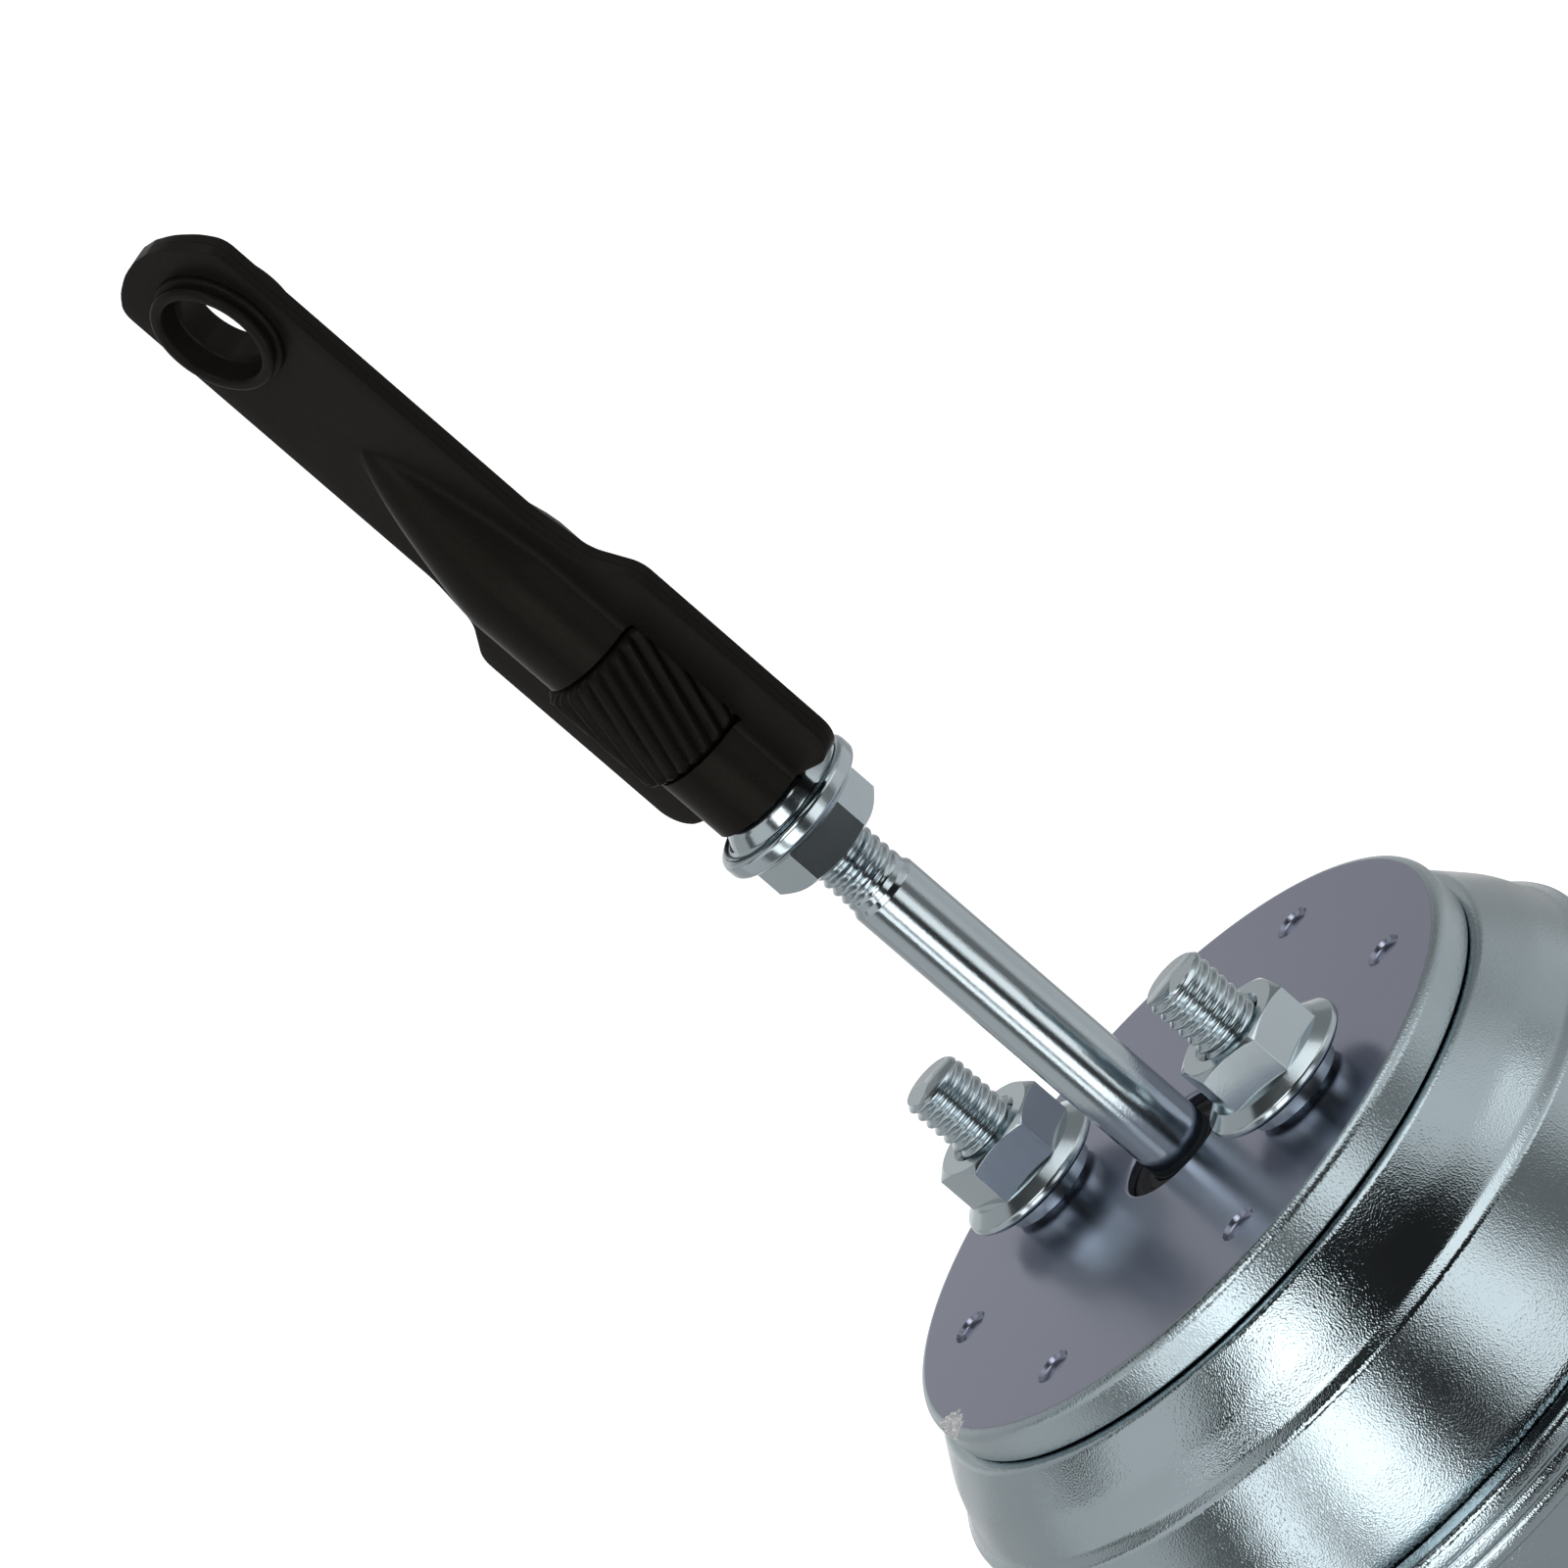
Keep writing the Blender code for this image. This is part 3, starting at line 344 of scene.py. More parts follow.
def plated_steel(name, colour, roughness, grain_size, grain_height, shift=0.05, pebbled=False):
    """Plated metal: pebbled or noisy fine grain as relief, and a slow drift of gloss and tone.

    The grain's size and height are in millimetres. The gloss drifts by the shift either way.
    """
    material = bpy.data.materials.new(name)
    material.use_nodes = True
    wires = material.node_tree.links
    metal = material.node_tree.nodes["Principled BSDF"]
    metal.inputs["Metallic"].default_value = 1.0
    place = material.node_tree.nodes.new("ShaderNodeTexCoord")
    if pebbled:
        grain = add_node(material, "ShaderNodeTexVoronoi", Scale=1 / (grain_size * MM))
        bowl = material.node_tree.nodes.new("ShaderNodeMath")
        bowl.operation = 'POWER'
        bowl.inputs[1].default_value = 2.0
        wires.new(grain.outputs["Distance"], bowl.inputs[0])
        relief = bowl.outputs[0]
    else:
        grain = add_node(material, "ShaderNodeTexNoise", Scale=1 / (grain_size * MM), Detail=3.0)
        relief = grain.outputs["Fac"]
    wires.new(place.outputs["Object"], grain.inputs["Vector"])
    bump = add_node(material, "ShaderNodeBump", Strength=1.0, Distance=grain_height * MM)
    wires.new(relief, bump.inputs["Height"])
    wires.new(bump.outputs["Normal"], metal.inputs["Normal"])
    drift = add_node(material, "ShaderNodeTexNoise", Scale=90.0, Detail=4.0, Roughness=0.6)
    wires.new(place.outputs["Object"], drift.inputs["Vector"])
    gloss = add_node(material, "ShaderNodeMapRange")
    gloss.inputs["To Min"].default_value = roughness - shift
    gloss.inputs["To Max"].default_value = roughness + shift
    wires.new(drift.outputs["Fac"], gloss.inputs["Value"])
    wires.new(gloss.outputs["Result"], metal.inputs["Roughness"])
    tone = add_node(material, "ShaderNodeValToRGB")
    tone.color_ramp.elements[0].color = (*[0.93 * part for part in colour], 1.0)
    tone.color_ramp.elements[0].position = 0.3
    tone.color_ramp.elements[1].color = (*colour, 1.0)
    tone.color_ramp.elements[1].position = 0.7
    wires.new(drift.outputs["Fac"], tone.inputs["Fac"])
    wires.new(tone.outputs["Color"], metal.inputs["Base Color"])
    return material


lower_can = turned("lower_can_shell", [
    (37.4, 22.85, 0),
    (37.75, 23.1, 0.3),
    (40.15, 23.1, 0.75),
    (40.15, 21.55, 0.3),
    (39.8, 21.1, 0.35),
    (40.18, 20.65, 0.3),
    (40.18, 20.0, 0.3),
    (39.85, 19.7, 0.3),
    (40.15, 19.3, 0.3),
    (40.15, 18.0, 0.9),
    (36.0, 18.0, 0.8),
    (36.0, 0.0, 5.0),
    (0.0, 0.0, 0),
], steps=192, closed=False)
give_wall(lower_can, CAN_WALL)
bpy.ops.mesh.primitive_cylinder_add(vertices=48, radius=PORT_RADIUS * MM, depth=8 * MM,
                                    location=PORT_MIDDLE, rotation=(0, math.pi / 2, 0))
combine(lower_can, bpy.context.object, 'DIFFERENCE')
smooth(lower_can)
lower_can.data.materials.append(plated_steel(
    "zinc_lower_can", zinc_tone, roughness=0.13, grain_size=0.17, grain_height=0.013, pebbled=True))
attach(lower_can, "canister")
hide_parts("lower_can")

# Upper can: drawn shell with a flat top, a sloping shoulder, a soft crease and a round belly.
# The drawing leaves a leathery orange-peel grain under the zinc.
upper_can = turned("upper_can_shell", [
    (5.64, 44.3, 0),
    (31.3, 44.3, 0.9),
    (33.9, 40.6, 8.0),
    (35.25, 37.5, 1.6),
    (36.25, 36.65, 0.9),
    (36.7, 33.0, 6.0),
    (36.9, 30.0, 8.0),
    (36.9, 21.75, 0.8),
    (38.75, 21.75, 0),
], steps=192, closed=False, sweep_step=6.0)
give_wall(upper_can, CAN_WALL)
smooth(upper_can)
upper_can.data.materials.append(plated_steel(
    "zinc_upper_can", zinc_tone, roughness=0.10, grain_size=0.17, grain_height=0.013, pebbled=True))
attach(upper_can, "canister")
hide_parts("upper_can")

# Mounting plate: a thick turned disc, spot-welded to the can at six dimples. Its face is
# smooth, its rounded rim is grainy, and a knock has torn a nick out of the rim.
STUD_OFFSET = 17.5 * MM
STUD_HOLE_RADIUS = 3.3
PLATE_TOP = 47.9 * MM
SPOT_CIRCLE = 24.07 * MM
SPOT_ANGLES = (37.4, 90.0, 142.6, 217.4, 270.0, 322.6)
NICK_RADIUS = 2.55
NICK_CENTRE = (-13.7 * MM, -27.6 * MM, 48.6 * MM)
NICK_STRETCH = (1.25, 1.0, 0.75, 1)
RIM_START = 29.5 * MM
FACE_TILT = 0.985
plate = turned("mounting_plate_disc", [
    (5.64, 44.45, 0.2),
    (30.35, 44.45, 0.2),
    (30.4, 47.9, 0.95),
    (5.64, 47.9, 0.35),
], steps=240, sweep_step=9.0)
for side in (-1, 1):
    bpy.ops.mesh.primitive_cylinder_add(vertices=64, radius=STUD_HOLE_RADIUS * MM, depth=10 * MM,
                                        location=(side * STUD_OFFSET, 0, 46.0 * MM))
    combine(plate, bpy.context.object, 'DIFFERENCE')
for degrees in SPOT_ANGLES:
    spot = turned("weld_spot", [
        (0.0, 0.8, 0),
        (2.15, 0.8, 0),
        (1.4, -0.5, 0.4),
        (0.0, -0.46, 0),
    ], steps=48, closed=False)
    angle = math.radians(degrees)
    spot_centre = (SPOT_CIRCLE * math.cos(angle), SPOT_CIRCLE * math.sin(angle), PLATE_TOP)
    place_mesh(spot, Matrix.Translation(spot_centre))
    combine(plate, spot, 'DIFFERENCE')
soften_edges(plate, width=0.3, angle=40, segments=3)
# The nick's near-white colour is partly its bare steel under the zinc and partly a painted highlight of its
# glinting facets.
torn = plated_steel("zinc_torn_and_glint", (0.93, 0.94, 0.95), roughness=0.3, grain_size=0.3, grain_height=0.3)
bpy.ops.mesh.primitive_ico_sphere_add(subdivisions=4, radius=NICK_RADIUS * MM, location=(0, 0, 0))
nick = bpy.context.object
dice = random.Random(7)
for vertex in nick.data.vertices:
    vertex.co *= 1 + dice.uniform(-0.16, 0.10)
place_mesh(nick, Matrix.Translation(NICK_CENTRE) @ Matrix.Diagonal(NICK_STRETCH))
nick.data.materials.append(torn)
# The face's zinc colour is painted darker and bluer than the rim's zinc: painted shade standing in for a
# dim reflection on the face.
plate.data.materials.append(plated_steel(
    "zinc_plate", (0.32, 0.345, 0.44), roughness=0.25, grain_size=0.35, grain_height=0.004))
combine(plate, nick, 'DIFFERENCE', carry_material=True)
plate.data.materials.append(plated_steel(
    "zinc_plate_rim", zinc_tone, roughness=0.24, grain_size=0.2, grain_height=0.02, pebbled=True))
for face in plate.data.polygons:
    reach = math.hypot(face.center.x, face.center.y)
    if face.material_index == 0 and reach > RIM_START and face.normal.z < FACE_TILT:
        face.material_index = 2
smooth(plate, 32)
weigh_normals(plate)
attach(plate, "canister")
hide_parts("mounting_plate")

# Weld studs: M6 threaded shanks with a flat chamfered end, on a collar welded into the plate.
# The rolled thread has round crests, and runs up to the end.
THREAD_STEP = 0.1
CREST_POWER = 0.8
RUN_IN = 0.7
STUD_THREAD_TURN = 1.1


def threaded_bar(name, profile, outer, depth, pitch, low, high, chamfer, steps):
    """A turned bar whose profile ends in a threaded length, with a helix pressed into that length."""
    count = round((high - chamfer - low) / THREAD_STEP)
    shank = [(outer, low + (high - chamfer - low) * step / count, 0) for step in range(count + 1)]
    nose = [(outer - chamfer * share, high - chamfer * (1 - share), 0) for share in (0.25, 0.5, 0.75, 1.0)]
    bar = turned(name, profile + shank + nose + [(0.0, high, 0)], steps, closed=False)
    for vertex in bar.data.vertices:
        reach = math.hypot(vertex.co.x, vertex.co.y) / MM
        height = vertex.co.z / MM
        if reach < 0.5 * outer or not low <= height <= high:
            continue
        phase = height / pitch - math.atan2(vertex.co.y, vertex.co.x) / (2 * math.pi)
        crest = (0.5 + 0.5 * math.cos(2 * math.pi * phase)) ** CREST_POWER
        fade = min(1.0, (height - low) / (RUN_IN * pitch))
        pressed = min(reach, outer - depth * (1 - crest) * fade)
        vertex.co.x *= pressed / reach
        vertex.co.y *= pressed / reach
    return bar


fastener_tone = (0.52, 0.60, 0.635)
for label, side in (("left", -1), ("right", 1)):
    stud = threaded_bar(f"weld_stud_{label}", [
        (0.0, 45.3, 0),
        (3.0, 45.3, 0),
        (3.0, 48.25, 0),
        (4.5, 48.25, 0.2),
        (4.5, 49.8, 0.3),
        (2.98, 49.8, 0),
    ], outer=2.98, depth=0.46, pitch=1.0, low=50.6, high=62.4, chamfer=0.35, steps=96)
    thread_turn = Matrix.Rotation(side * STUD_THREAD_TURN, 4, 'Z')
    place_mesh(stud, Matrix.Translation((side * STUD_OFFSET, 0, 0)) @ thread_turn)
    smooth(stud, 75)
    stud.data.materials.append(plated_steel(
        f"zinc_stud_{label}", fastener_tone, roughness=0.18, grain_size=0.2, grain_height=0.004))
    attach(stud, "canister")
    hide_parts(f"stud_{label}")

# Flange nuts: hexagon, 10 mm across flats, on a conical flange with a round rim. The hexagon's
# top is chamfered, and its edges are slightly broken.
ACROSS_FLATS = 10
CONE_RADIUS = 7.0
CHAMFER_DROP = 1.15
CHAMFER_RADIUS = 4.85
LEAD_IN = 0.45


def hexagon_nut(name, top, foot, bore, flange_profile, turn):
    """Hexagon cut by a chamfer cone, joined to a turned flange, and bored."""
    bpy.ops.mesh.primitive_cylinder_add(vertices=6, radius=ACROSS_FLATS / math.sqrt(3) * MM,
                                        depth=(top - foot) * MM, location=(0, 0, (top + foot) / 2 * MM))
    nut = bpy.context.object
    nut.name = name
    nut.data.name = name
    settle(nut)
    tip = top + 0.03
    cone = turned("chamfer", [
        (0.0, foot - 1, 0),
        (CONE_RADIUS, foot - 1, 0),
        (CONE_RADIUS, top - CHAMFER_DROP, 0),
        (CHAMFER_RADIUS, tip, 0),
        (CHAMFER_RADIUS - 0.1, tip, 0),
        (0.0, tip, 0),
    ], steps=96, closed=False)
    combine(nut, cone, 'INTERSECT')
    place_mesh(nut, Matrix.Rotation(math.radians(turn), 4, 'Z'))
    flange = turned("flange", flange_profile, steps=96, closed=False)
    combine(nut, flange, 'UNION')
    low = min(point[1] for point in flange_profile)
    hole = turned("hole", [
        (0.0, low - 1, 0),
        (bore + 2 * LEAD_IN, low - 1, 0),
        (bore + LEAD_IN, low, 0),
        (bore, low + 0.6, 0),
        (bore, top - 0.6, 0),
        (bore + LEAD_IN, top, 0),
        (bore + 2 * LEAD_IN, top + 1, 0),
        (0.0, top + 1, 0),
    ], steps=64, closed=False)
    combine(nut, hole, 'DIFFERENCE')
    soften_edges(nut, width=0.10, angle=28)
    return nut


for label, side, turn in (("left", -1, 21.0), ("right", 1, 2.5)):
    nut = hexagon_nut(f"transit_nut_{label}", top=56.1, foot=50.5, bore=3.05, flange_profile=[
        (0.0, 50.15, 0),
        (6.6, 50.15, 0.2),
        (7.08, 50.55, 0.25),
        (6.98, 51.1, 0.25),
        (5.75, 51.9, 0.5),
        (4.8, 52.15, 0),
        (0.0, 52.4, 0),
    ], turn=turn)
    place_mesh(nut, Matrix.Translation((side * STUD_OFFSET, 0, 0)))
    smooth(nut, 30)
    weigh_normals(nut)
    nut.data.materials.append(plated_steel(
        f"zinc_nut_{label}", fastener_tone, roughness=0.15, grain_size=0.22, grain_height=0.003))
    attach(nut, "canister")
    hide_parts(f"flange_nut_{label}")

# Rod seal: a black rubber ring with a lip, pressed into the plate's hole round the rod.
# A shallow groove runs round its top face between the lip and the outer land.
seal = turned("rod_seal_ring", [
    (3.35, 44.6, 0),
    (5.6, 44.6, 0.1),
    (5.6, 46.9, 0.15),
    (4.9, 46.9, 0.15),
    (4.45, 46.3, 0.25),
    (4.0, 46.75, 0.15),
    (3.35, 46.9, 0.05),
], steps=96)
smooth(seal)
rubber = bpy.data.materials.new("seal_rubber")
rubber.use_nodes = True
rubber_wires = rubber.node_tree.links
rubber_shader = rubber.node_tree.nodes["Principled BSDF"]
rubber_shader.inputs["Base Color"].default_value = (0.012, 0.012, 0.013, 1.0)
rubber_place = rubber.node_tree.nodes.new("ShaderNodeTexCoord")
rubber_grain = add_node(rubber, "ShaderNodeTexNoise", Scale=2500.0, Detail=4.0)
rubber_gloss = add_node(rubber, "ShaderNodeMapRange")
rubber_gloss.inputs["To Min"].default_value = 0.45
rubber_gloss.inputs["To Max"].default_value = 0.75
rubber_bump = add_node(rubber, "ShaderNodeBump", Strength=0.6, Distance=0.00002)
rubber_wires.new(rubber_place.outputs["Object"], rubber_grain.inputs["Vector"])
rubber_wires.new(rubber_grain.outputs["Fac"], rubber_gloss.inputs["Value"])
rubber_wires.new(rubber_gloss.outputs["Result"], rubber_shader.inputs["Roughness"])
rubber_wires.new(rubber_grain.outputs["Fac"], rubber_bump.inputs["Height"])
rubber_wires.new(rubber_bump.outputs["Normal"], rubber_shader.inputs["Normal"])
seal.data.materials.append(rubber)
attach(seal, "canister")
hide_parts("rod_seal")

# Actuator rod: drawn and plated bar with a fine satin grain. It is necked down to the thread
# that carries the jam nut and the adjuster.
rod = threaded_bar("push_rod", [
    (0.0, 1.7, 0),
    (2.5, 1.7, 0.3),
    (2.5, 9.8, 0),
    (5.2, 9.8, 0.2),
    (5.2, 11.4, 0.3),
    (3.25, 11.4, 0.3),
    (3.25, 80.9, 0.4),
    (2.93, 81.4, 0.2),
    (2.93, 81.8, 0),
], outer=2.97, depth=0.36, pitch=1.0, low=81.9, high=120.15, chamfer=0.8, steps=96)
smooth(rod, 75)
rod.data.materials.append(plated_steel(
    "zinc_rod", (0.50, 0.575, 0.61), roughness=0.12, grain_size=0.16, grain_height=0.008, shift=0.03))
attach(rod, "rod")
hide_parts("actuator_rod")

# Jam nut: the same hexagon turned over, so that its flange faces the rod end. A tapered collar
# on the flange meets the rod end's barrel.
JAM_SEAT = 93.85 * MM
jam = hexagon_nut("jam_nut_hex", top=7.2, foot=3.6, bore=3.3, flange_profile=[
    (0.0, 0.0, 0),
    (4.7, 0.0, 0.2),
    (5.05, 0.45, 0.3),
    (6.0, 1.95, 0.5),
    (6.35, 1.45, 0.3),
    (7.08, 1.55, 0.5),
    (7.1, 2.95, 0.6),
    (6.6, 3.25, 0.3),
    (5.75, 3.75, 0.5),
    (4.8, 3.95, 0),
    (0.0, 4.2, 0),
], turn=-27.0)
place_mesh(jam, Matrix.Translation((0, 0, JAM_SEAT)) @ Matrix.Rotation(math.pi, 4, 'X'))
smooth(jam, 30)
weigh_normals(jam)
jam.data.materials.append(plated_steel(
    "zinc_jam_nut", fastener_tone, roughness=0.14, grain_size=0.22, grain_height=0.003))
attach(jam, "rod")
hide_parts("jam_nut")

# Rod end: two pressed steel sheets back to back in satin black. Each has a half barrel that
# closes in a bullet nose, a window for the adjuster, and a hole for the eye bush.
SHEET_WALL = 0.83
SHEET_FOOT = 94.15
PALM_DEPTH = 0.85
BARREL_RADIUS = 5.31
BARREL_FILLET = 0.9
NOSE_START = 27.6
NOSE_LENGTH = 16.2
NOSE_POWER = 0.56
FLAT_STEPS = 4
FILLET_STEPS = 5
BARREL_STEPS = 14
ROW_STEP = 1.35
SHORTEST_ROW = 0.04
WINDOW_MIDDLE = SHEET_FOOT + 12.6
WINDOW_SIZE = (13.0 * MM, 30 * MM, 12.0 * MM)
EYE_HEIGHT = 152.4 * MM
EYE_HOLE_RADIUS = 5.25
SHEET_EDGE = 0.22
SEAM_DEPTH = 0.7


def black_coat(name, roughness=0.34):
    """Satin black coating: warm black, fine grain, and small lighter specks where it is worn."""
    material = bpy.data.materials.new(name)
    material.use_nodes = True
    wires = material.node_tree.links
    coat = material.node_tree.nodes["Principled BSDF"]
    coat.inputs["Specular IOR Level"].default_value = 0.07
    coat.inputs["Specular Tint"].default_value = (1.0, 0.92, 0.84, 1.0)
    place = material.node_tree.nodes.new("ShaderNodeTexCoord")
    grain = add_node(material, "ShaderNodeTexNoise", Scale=5200.0, Detail=3.0)
    drift = add_node(material, "ShaderNodeTexNoise", Scale=160.0, Detail=4.0)
    for noise in (grain, drift):
        wires.new(place.outputs["Object"], noise.inputs["Vector"])
    bump = add_node(material, "ShaderNodeBump", Strength=0.7, Distance=0.000012)
    wires.new(grain.outputs["Fac"], bump.inputs["Height"])
    wires.new(bump.outputs["Normal"], coat.inputs["Normal"])
    gloss = add_node(material, "ShaderNodeMapRange")
    gloss.inputs["To Min"].default_value = roughness - 0.07
    gloss.inputs["To Max"].default_value = roughness + 0.07
    wires.new(drift.outputs["Fac"], gloss.inputs["Value"])
    wires.new(gloss.outputs["Result"], coat.inputs["Roughness"])
    tone = add_node(material, "ShaderNodeValToRGB")
    tone.color_ramp.elements[0].color = (0.0078, 0.0068, 0.0054, 1.0)
    tone.color_ramp.elements[0].position = 0.25
    tone.color_ramp.elements[1].color = (0.0115, 0.0101, 0.0083, 1.0)
    tone.color_ramp.elements[1].position = 0.75
    speck = tone.color_ramp.elements.new(0.985)
    speck.color = (0.045, 0.042, 0.038, 1.0)
    wires.new(grain.outputs["Fac"], tone.inputs["Fac"])
    wires.new(tone.outputs["Color"], coat.inputs["Base Color"])
    return material


outline = soft_path([
    (6.2, 0.0, 0),
    (11.65, 0.0, 2.7),
    (11.65, 22.2, 2.4),
    (8.48, 25.4, 3.5),
    (7.48, 30.3, 8.0),
    (7.48, 63.69, 2.0),
    (5.6, 65.13, 6.0),
    (3.2, 66.21, 8.0),
    (0.9, 66.69, 3.0),
    (0.3, 66.7, 0),
], closed=False, sweep_step=8.0)


def outline_width(rise):
    """Half the sheet's width at a height above its foot, in millimetres."""
    for before, after in zip(outline, outline[1:]):
        if before.y <= rise * MM <= after.y and after.y > before.y:
            share = (rise * MM - before.y) / (after.y - before.y)
            return (before.x + (after.x - before.x) * share) / MM
    return outline[-1].x / MM


def barrel_section(width, rise):
    """Points (x, depth) across the outer skin: palm, fillet, half barrel, fillet, palm."""
    share = min(1.0, max(0.0, (rise - NOSE_START) / NOSE_LENGTH))
    radius = BARREL_RADIUS * (1 - share) ** NOSE_POWER
    level = PALM_DEPTH + BARREL_FILLET
    inner = []
    if radius > PALM_DEPTH + 0.01:
        start = math.sqrt((radius + BARREL_FILLET) ** 2 - level ** 2)
        turn = math.atan2(start, level)
        for step in range(FILLET_STEPS):
            angle = turn * step / FILLET_STEPS
            inner.append((start - BARREL_FILLET * math.sin(angle), level - BARREL_FILLET * math.cos(angle)))
        for step in range(BARREL_STEPS):
            angle = turn * (1 - step / BARREL_STEPS)
            inner.append((radius * math.sin(angle), radius * math.cos(angle)))
        middle = radius
    else:
        start = min(1.2, 0.5 * width)
        count = FILLET_STEPS + BARREL_STEPS
        inner = [(start * (1 - step / count), PALM_DEPTH) for step in range(count)]
        middle = PALM_DEPTH
    palm = [(width + (start - width) * step / FLAT_STEPS, PALM_DEPTH) for step in range(FLAT_STEPS)]
    half = palm + inner
    return half + [(0.0, middle)] + [(-x, depth) for x, depth in reversed(half)]


nose_shares = (0.75, 0.85, 0.91, 0.94, 0.955, 0.961, 0.966)
rises = [point.y / MM for point in outline]
rises += [ROW_STEP * step for step in range(3, 46)]
rises += [NOSE_START + NOSE_LENGTH * share for share in nose_shares]
rises.sort()
rises = [rises[0]] + [after for before, after in zip(rises, rises[1:]) if after - before > SHORTEST_ROW]
for name, side, node in (("rod_end_front_sheet", -1, "rod_end_front_half"),
                         ("rod_end_rear_sheet", 1, "rod_end_rear_half")):
    verts = []
    faces = []
    for rise in rises:
        for x, depth in barrel_section(outline_width(rise), rise):
            verts.append((x * MM, side * depth * MM, (SHEET_FOOT + rise) * MM))
    across = len(verts) // len(rises)
    for row in range(len(rises) - 1):
        for column in range(across - 1):
            here = row * across + column
            quad = (here, here + 1, here + 1 + across, here + across)
            faces.append(quad if side > 0 else quad[::-1])
    sheet_mesh = bpy.data.meshes.new(name)
    sheet_mesh.from_pydata(verts, [], faces)
    sheet = bpy.data.objects.new(name, sheet_mesh)
    bpy.context.scene.collection.objects.link(sheet)
    give_wall(sheet, SHEET_WALL)
    bpy.ops.mesh.primitive_cube_add(size=1, location=(0, 0, WINDOW_MIDDLE * MM))
    window = bpy.context.object
    window.scale = WINDOW_SIZE
    combine(sheet, window, 'DIFFERENCE')
    bpy.ops.mesh.primitive_cylinder_add(vertices=96, radius=EYE_HOLE_RADIUS * MM, depth=12 * MM,
                                        location=(0, 0, EYE_HEIGHT), rotation=(math.pi / 2, 0, 0))
    combine(sheet, bpy.context.object, 'DIFFERENCE')
    bpy.ops.object.mode_set(mode='EDIT')
    bpy.ops.mesh.select_all(action='DESELECT')
    bpy.ops.mesh.select_mode(type='EDGE')
    bpy.ops.mesh.edges_select_sharp(sharpness=math.radians(50))
    bpy.ops.object.mode_set(mode='OBJECT')
    for edge in sheet.data.edges:
        if min(side * sheet.data.vertices[index].co.y for index in edge.vertices) < SEAM_DEPTH * MM:
            edge.select = False
    bpy.ops.object.mode_set(mode='EDIT')
    bpy.ops.mesh.bevel(offset=SHEET_EDGE * MM, segments=3, affect='EDGES', clamp_overlap=True)
    bpy.ops.mesh.select_mode(type='VERT')
    bpy.ops.object.mode_set(mode='OBJECT')
    smooth(sheet, 40)
    sheet.data.materials.append(black_coat(name + "_coat"))
    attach(sheet, "rod_end")
    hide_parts(node)

# Adjuster: a knurled nut with 26 right-hand ridges, turned down to a hub at each end. It sits
# on the rod's thread in the window of the two sheets, and fingers turn it there.
RIDGES = 26
RIDGE_DROPS = (0.56, 0.40, 0.22, 0.07, 0.0, 0.06, 0.2, 0.38)
KNURL_RADIUS = 6.18
KNURL_LENGTH = 11.2
KNURL_EDGE = 0.45
KNURL_STRAIGHT = 10.3
KNURL_ROWS = 14
KNURL_TWIST = 38.0
HUB_RADIUS = 4.31
HUB_REACH = 1.5
ADJUSTER_BORE = 3.3
END_SIZE = 0.90
EDGE_SIZE = 0.955
knurl_low = SHEET_FOOT + 7.0
knurl_high = SHEET_FOOT + 18.2
bpy.ops.object.select_all(action='DESELECT')
bpy.ops.mesh.primitive_circle_add(vertices=RIDGES * len(RIDGE_DROPS), radius=KNURL_RADIUS * MM,
                                  location=(0, 0, 0))
adjuster = bpy.context.object
adjuster.name = "adjuster_knurl"
adjuster.data.name = "adjuster_knurl"
for vertex in adjuster.data.vertices:
    drop = RIDGE_DROPS[vertex.index % len(RIDGE_DROPS)]
    vertex.co *= (KNURL_RADIUS - drop) / KNURL_RADIUS
bpy.ops.object.mode_set(mode='EDIT')
bpy.ops.mesh.select_all(action='SELECT')
bpy.ops.transform.translate(value=(0, 0, knurl_low * MM))
bpy.ops.transform.resize(value=(END_SIZE, END_SIZE, 1))
knurl_rows = [(0.18, EDGE_SIZE)]
knurl_rows += [(KNURL_EDGE + KNURL_STRAIGHT * step / KNURL_ROWS, 1.0) for step in range(KNURL_ROWS + 1)]
knurl_rows += [(11.02, EDGE_SIZE), (KNURL_LENGTH, END_SIZE)]
previous = 0.0
size_now = END_SIZE
for level, wanted in knurl_rows:
    bpy.ops.mesh.extrude_region_move(TRANSFORM_OT_translate={"value": (0, 0, (level - previous) * MM)})
    twist = math.radians(KNURL_TWIST) * (level - previous) / KNURL_LENGTH
    bpy.ops.transform.rotate(value=-twist, orient_axis='Z', center_override=(0, 0, 0))
    bpy.ops.transform.resize(value=(wanted / size_now, wanted / size_now, 1), center_override=(0, 0, 0))
    previous = level
    size_now = wanted
bpy.ops.object.mode_set(mode='OBJECT')
fill_ends(adjuster)
hub = turned("hub", [
    (0.0, knurl_low - HUB_REACH, 0),
    (HUB_RADIUS, knurl_low - HUB_REACH, 0.2),
    (HUB_RADIUS, knurl_high + HUB_REACH, 0.2),
    (0.0, knurl_high + HUB_REACH, 0),
], steps=64, closed=False)
combine(adjuster, hub, 'UNION')
bpy.ops.mesh.primitive_cylinder_add(vertices=64, radius=ADJUSTER_BORE * MM, depth=30 * MM,
                                    location=(0, 0, WINDOW_MIDDLE * MM))
combine(adjuster, bpy.context.object, 'DIFFERENCE')
smooth(adjuster, 38)
adjuster.data.materials.append(black_coat("adjuster_coat", roughness=0.4))
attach(adjuster, "adjuster")
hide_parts("adjuster_nut")

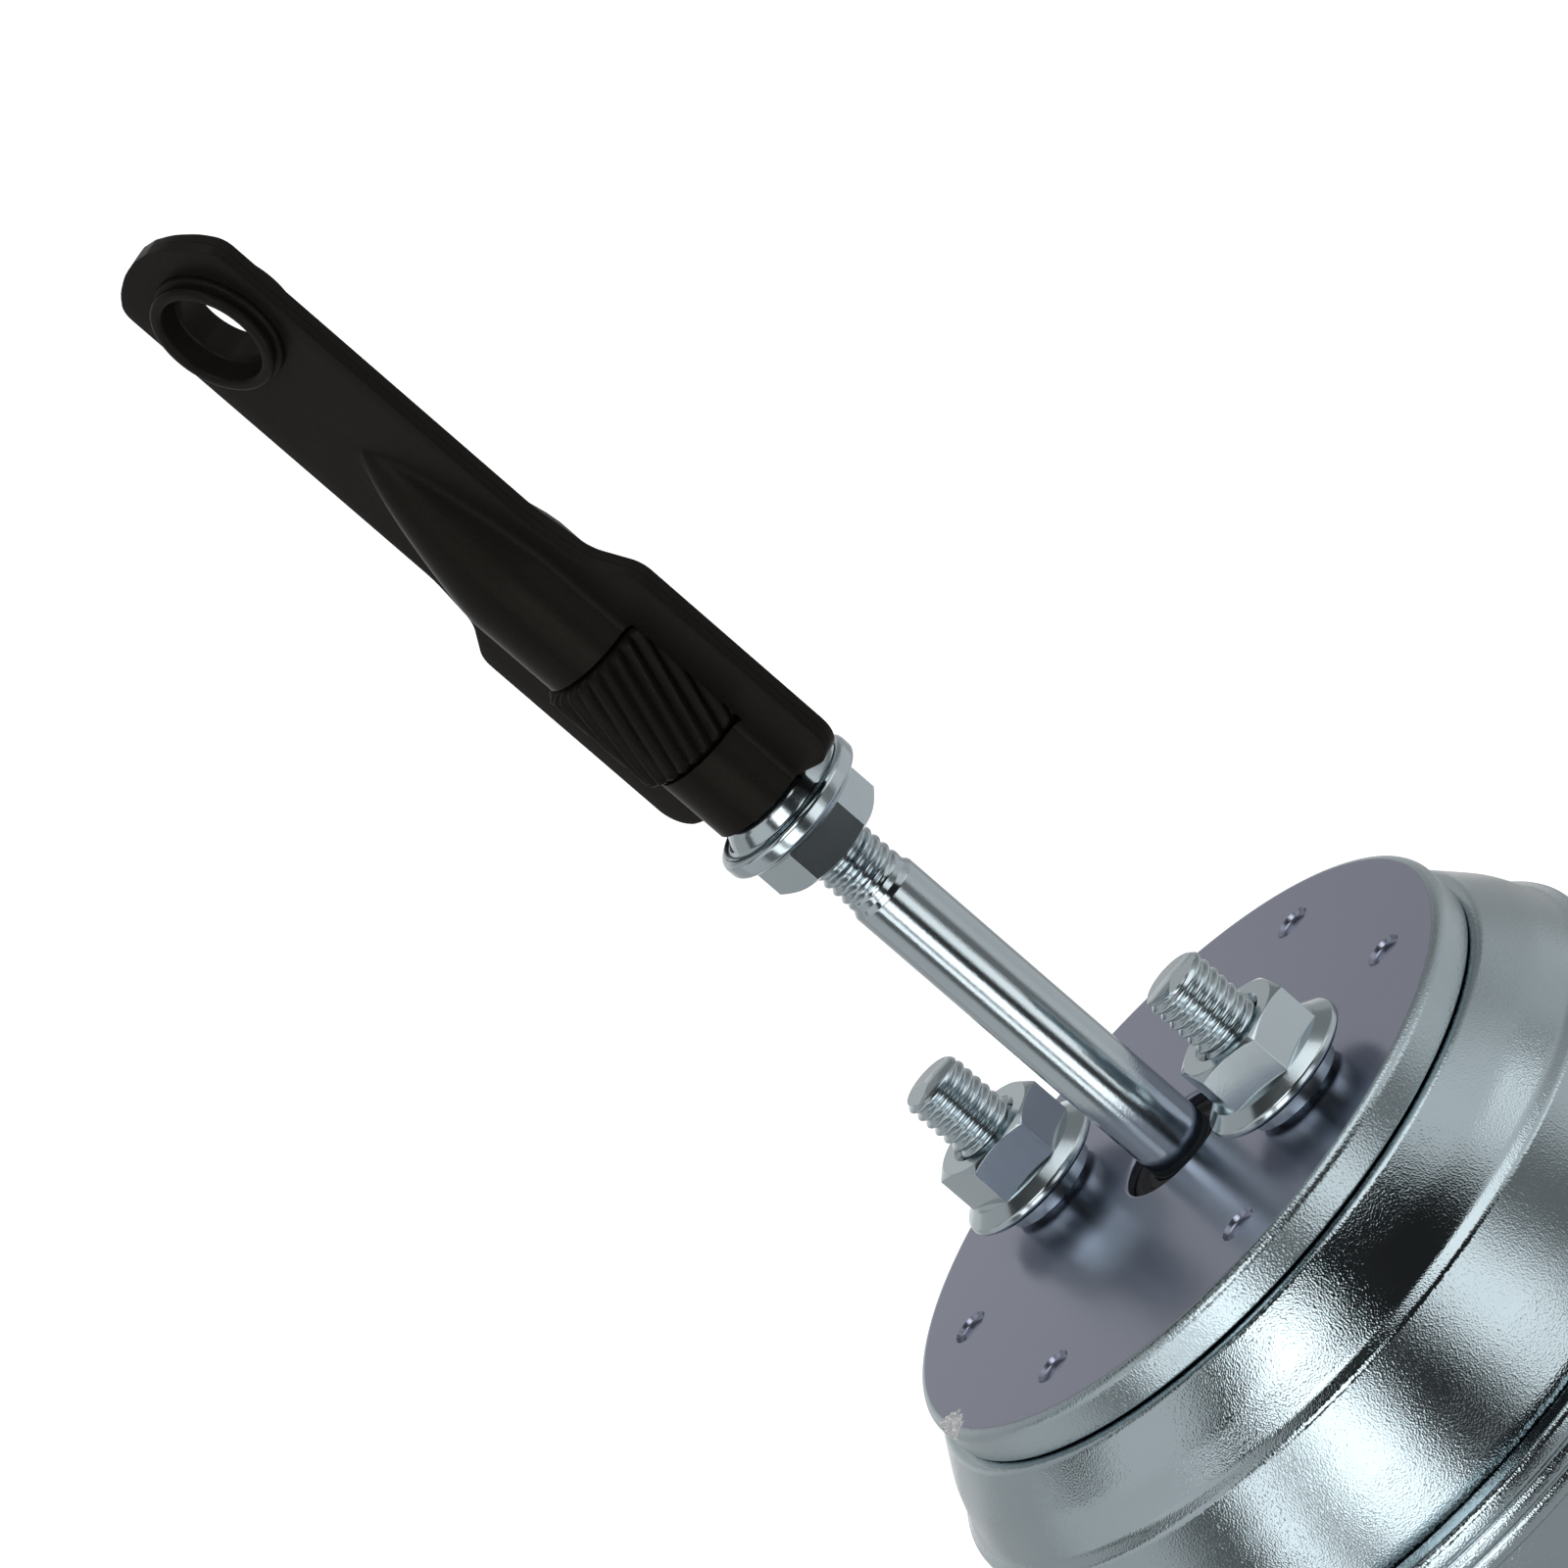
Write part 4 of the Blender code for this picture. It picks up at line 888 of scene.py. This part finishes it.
# Eye bush: pressed through both sheets and flared in front to a round lip over a bead.
# The lever's pin runs in its bore, and a plain flange holds it at the back.
bush = turned("eye_bush_ring", [
    (3.95, -2.5, 0.15),
    (5.45, -2.5, 0.3),
    (5.45, -1.15, 0.1),
    (4.95, -1.15, 0),
    (4.95, 0.93, 0),
    (5.75, 0.93, 0.05),
    (5.7, 1.3, 0.25),
    (5.05, 1.5, 0.25),
    (5.05, 1.65, 0.1),
    (5.5, 1.7, 0.38),
    (5.5, 2.5, 0.4),
    (4.45, 2.5, 0.42),
    (4.3, 1.6, 0.4),
    (4.15, 0.6, 0.3),
    (3.95, 0.45, 0.1),
], steps=128)
place_mesh(bush, Matrix.Translation((0, 0, EYE_HEIGHT)) @ Matrix.Rotation(math.pi / 2, 4, 'X'))
smooth(bush, 45)
bush.data.materials.append(black_coat("eye_bush_coat", roughness=0.32))
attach(bush, "rod_end")
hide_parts("eye_bush")

# Hose nipple: turned tube with a flange on the can's wall and three barbs. The boost hose is
# pushed over the barbs, and the bore opens into the lower can.
BARBS = 3
BARB_PITCH = 3.35
BARB_RADIUS = 3.3
TUBE_RADIUS = 2.6
BORE_RADIUS = 1.6
FLANGE_RADIUS = 4.6
FLANGE_THICKNESS = 1.6
TUBE_END = 15.0
nipple_profile = [
    (BORE_RADIUS, -1.4, 0),
    (TUBE_RADIUS, -1.4, 0),
    (TUBE_RADIUS, 0.0, 0),
    (FLANGE_RADIUS, 0.0, 0.15),
    (FLANGE_RADIUS, FLANGE_THICKNESS, 0.3),
    (TUBE_RADIUS, FLANGE_THICKNESS, 0.3),
]
for barb in range(1, BARBS + 1):
    nipple_profile.append((TUBE_RADIUS, FLANGE_THICKNESS + BARB_PITCH * barb, 0.2))
    nipple_profile.append((BARB_RADIUS, FLANGE_THICKNESS + BARB_PITCH * barb, 0.12))
nipple_profile.append((2.35, TUBE_END, 0.15))
nipple_profile.append((BORE_RADIUS, TUBE_END, 0.1))
nipple = turned("hose_nipple_tube", nipple_profile, steps=64)
nipple_seat = Matrix.Translation((-36.3 * MM, 0, PORT_HEIGHT))
place_mesh(nipple, nipple_seat @ Matrix.Rotation(-math.pi / 2, 4, 'Y'))
smooth(nipple, 30)
nipple.data.materials.append(plated_steel(
    "zinc_nipple", fastener_tone, roughness=0.24, grain_size=0.2, grain_height=0.005))
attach(nipple, "canister")
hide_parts("hose_nipple")

# Return spring: oil-tempered wire, wound four and a half turns between the piston cup and the
# seat. It pushes the rod back in, and gets shorter as the rod comes out.
WIRE_RADIUS = 1.3
COIL_RADIUS = 17.0
COIL_TURNS = 4.5
COIL_FOOT = 11.5
COIL_TOP = 40.2
COIL_STEPS = 216
bpy.ops.object.select_all(action='DESELECT')
bpy.ops.mesh.primitive_circle_add(vertices=20, radius=WIRE_RADIUS * MM, rotation=(math.pi / 2, 0, 0),
                                  location=(COIL_RADIUS * MM, 0, COIL_FOOT * MM))
spring = bpy.context.object
spring.name = "return_spring_coil"
spring.data.name = "return_spring_coil"
settle(spring)
coil = spring.modifiers.new("coil", 'SCREW')
coil.angle = 2 * math.pi * COIL_TURNS
coil.screw_offset = (COIL_TOP - COIL_FOOT) * MM
coil.iterations = 1
coil.steps = COIL_STEPS
coil.render_steps = COIL_STEPS
bpy.ops.object.modifier_apply(modifier="coil")
fill_ends(spring)
smooth(spring)
spring.data.materials.append(plated_steel(
    "spring_wire", (0.17, 0.165, 0.165), roughness=0.36, grain_size=0.3, grain_height=0.004))
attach(spring, "canister")
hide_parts("return_spring")
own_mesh(spring)

# Diaphragm: moulded rubber sheet, clamped at its edge in the crimp and at the piston. Its
# sloping wall follows the piston as the rod moves.
DIAPHRAGM_WALL = 0.85
diaphragm = turned("diaphragm_sheet", [
    (38.8, 20.25, 0),
    (34.1, 20.25, 1.6),
    (24.6, 8.0, 1.6),
    (2.8, 8.0, 0),
], steps=96, closed=False)
give_wall(diaphragm, DIAPHRAGM_WALL)
smooth(diaphragm)
diaphragm.data.materials.append(rubber)
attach(diaphragm, "canister")
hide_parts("diaphragm")
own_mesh(diaphragm)

# Inside pieces: the piston's parts, the spring's seat and the guide bush, hidden in the closed
# can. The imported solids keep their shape, with a fitting metal on each.
inside = (
    ("piston_cup", "inner_steel", (0.45, 0.47, 0.50), 0.34),
    ("diaphragm_retainer", "inner_steel", (0.45, 0.47, 0.50), 0.38),
    ("spring_seat", "inner_steel", (0.43, 0.45, 0.48), 0.36),
    ("piston_nut", "zinc_fastener", fastener_tone, 0.25),
    ("guide_bush", "bush_bronze", (0.42, 0.27, 0.12), 0.42),
)
for node, slot_name, tone, roughness in inside:
    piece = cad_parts[node]
    piece.data.materials.clear()
    piece.data.materials.append(plated_steel(
        f"{node}_metal", tone, roughness=roughness, grain_size=0.3, grain_height=0.006))
